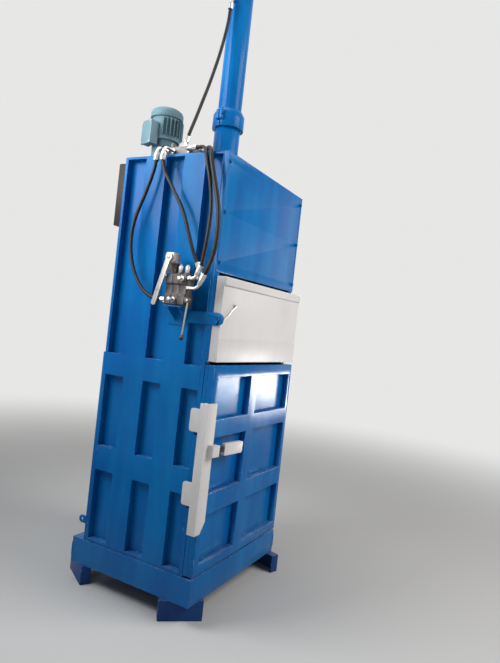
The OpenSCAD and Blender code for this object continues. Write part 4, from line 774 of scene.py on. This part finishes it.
plastic, sheet, shade = finish("black_plastic", specular=0.4)
spark = sheet.noise(320.0, 3.0)
worn = sheet.ramp(sheet.noise(30.0), 0.4, 0.7)
tone = sheet.blend(worn, (0.016, 0.016, 0.018, 1), (0.03, 0.029, 0.028, 1))
shade(tone, sheet.ramp(spark, 0.3, 0.7, 0.32, 0.5), sheet.math("MULTIPLY", spark, spark_depth))
valve_iron = cast("valve_iron", valve_grey, 0.46, pale_above=bonnet_foot)
broken_edges("valve_bracket", sheet_edge, blue)
broken_edges("valve_body", folded_edge, valve_iron)
for node in ("valve_caps", "spool_lever"):
    broken_edges(node, small_edge, steel)
broken_edges("side_lever", small_edge, plated("cast_lever", lever_grey, 0.42))
for node in ("lever_knob", "filler_cap"):
    broken_edges(node, folded_edge, plastic)

# Catch arm, hinges and keepers
# The arm and the keepers are welded flat to the left side. The hinge leaves are welded to the right
# posts, with long pins through knuckles on both doors.

bracket_seam = 0.03
keeper_seam = 0.02
bracket_weld = (0.003, 0.05, 0.07)
for node in ("catch_arm", "hinge_brackets", "latch_keepers"):
    broken_edges(node, sheet_edge, blue)
broken_edges("hinge_pins", small_edge, steel)
fixed_seams = [
    seam_lines("valve_bracket", 0, post_lo[0], bracket_seam),
    seam_lines("catch_arm", 0, post_lo[0], bracket_seam),
    seam_lines("hinge_brackets", 0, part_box("hinge_brackets")[0][0], bracket_seam),
    seam_lines("latch_keepers", 0, post_lo[0], keeper_seam),
]
fixed_welds = [stitches(lines, *bracket_weld) for lines in fixed_seams if len(lines)]
surface("bracket_welds", fixed_welds, blue, "frame")

# Bale door
# A pressed lattice like that of the walls, stitch welded to a thick skin with slats inside it.
# Its knuckles sit at the right, and two guides for the latch at the left edge.

broken_edges("bale_door_ribs", sheet_edge, blue, whole=False)
for node in ("bale_door_knuckles", "latch_guides"):
    broken_edges(node, sheet_edge, blue)
coat(blue, "bale_door_skin", "bale_door_slats")
door_seams = seam_lines("bale_door_ribs", 1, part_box("bale_door_skin")[0][1])
surface("bale_door_welds", [stitches(door_seams)], blue, "bale_door")

# Latch
# A heavy flat bar with two hooked lugs slides in the guides. A socket welded to it holds a dark
# stem with a flat white grip.

thick_edge = 0.003
stem_edge = 0.001
door_white, thin_white, worn_white = (0.64, 0.62, 0.62), (0.60, 0.58, 0.58), (0.32, 0.30, 0.28)
stem_black, thin_black = (0.02, 0.02, 0.023), (0.028, 0.028, 0.03)
white = enamel("white_enamel", door_white, thin_white, worn_white, grime=0.16, chips=0.7,
               rough=0.34, swell=0.0007, specular=0.1)
black = enamel("dark_enamel", stem_black, thin_black, bare_iron, grime=0.3, chips=0.9, rough=0.32)
for node in ("latch_bar", "latch_grip"):
    broken_edges(node, thick_edge, white)
broken_edges("latch_stem", stem_edge, black)

# Feed door
# A white folded pan with a rolled ledge, a doubler plate low on its face and channels behind it.
# A thin round hook with a boss reaches from it to the catch arm.

for node in ("feed_door_pan", "feed_door_knuckles"):
    broken_edges(node, thick_edge, white)
coat(white, "feed_door_stiffeners")
broken_edges("door_hook", small_edge, steel)

# Platen
# A welded frame with guide shoes over five hollow bars, between which the tie wires pass. All of it
# is painted blue like the body, and the chromed rod above moves with it.

coat(blue, "platen_bars", "platen_frame")
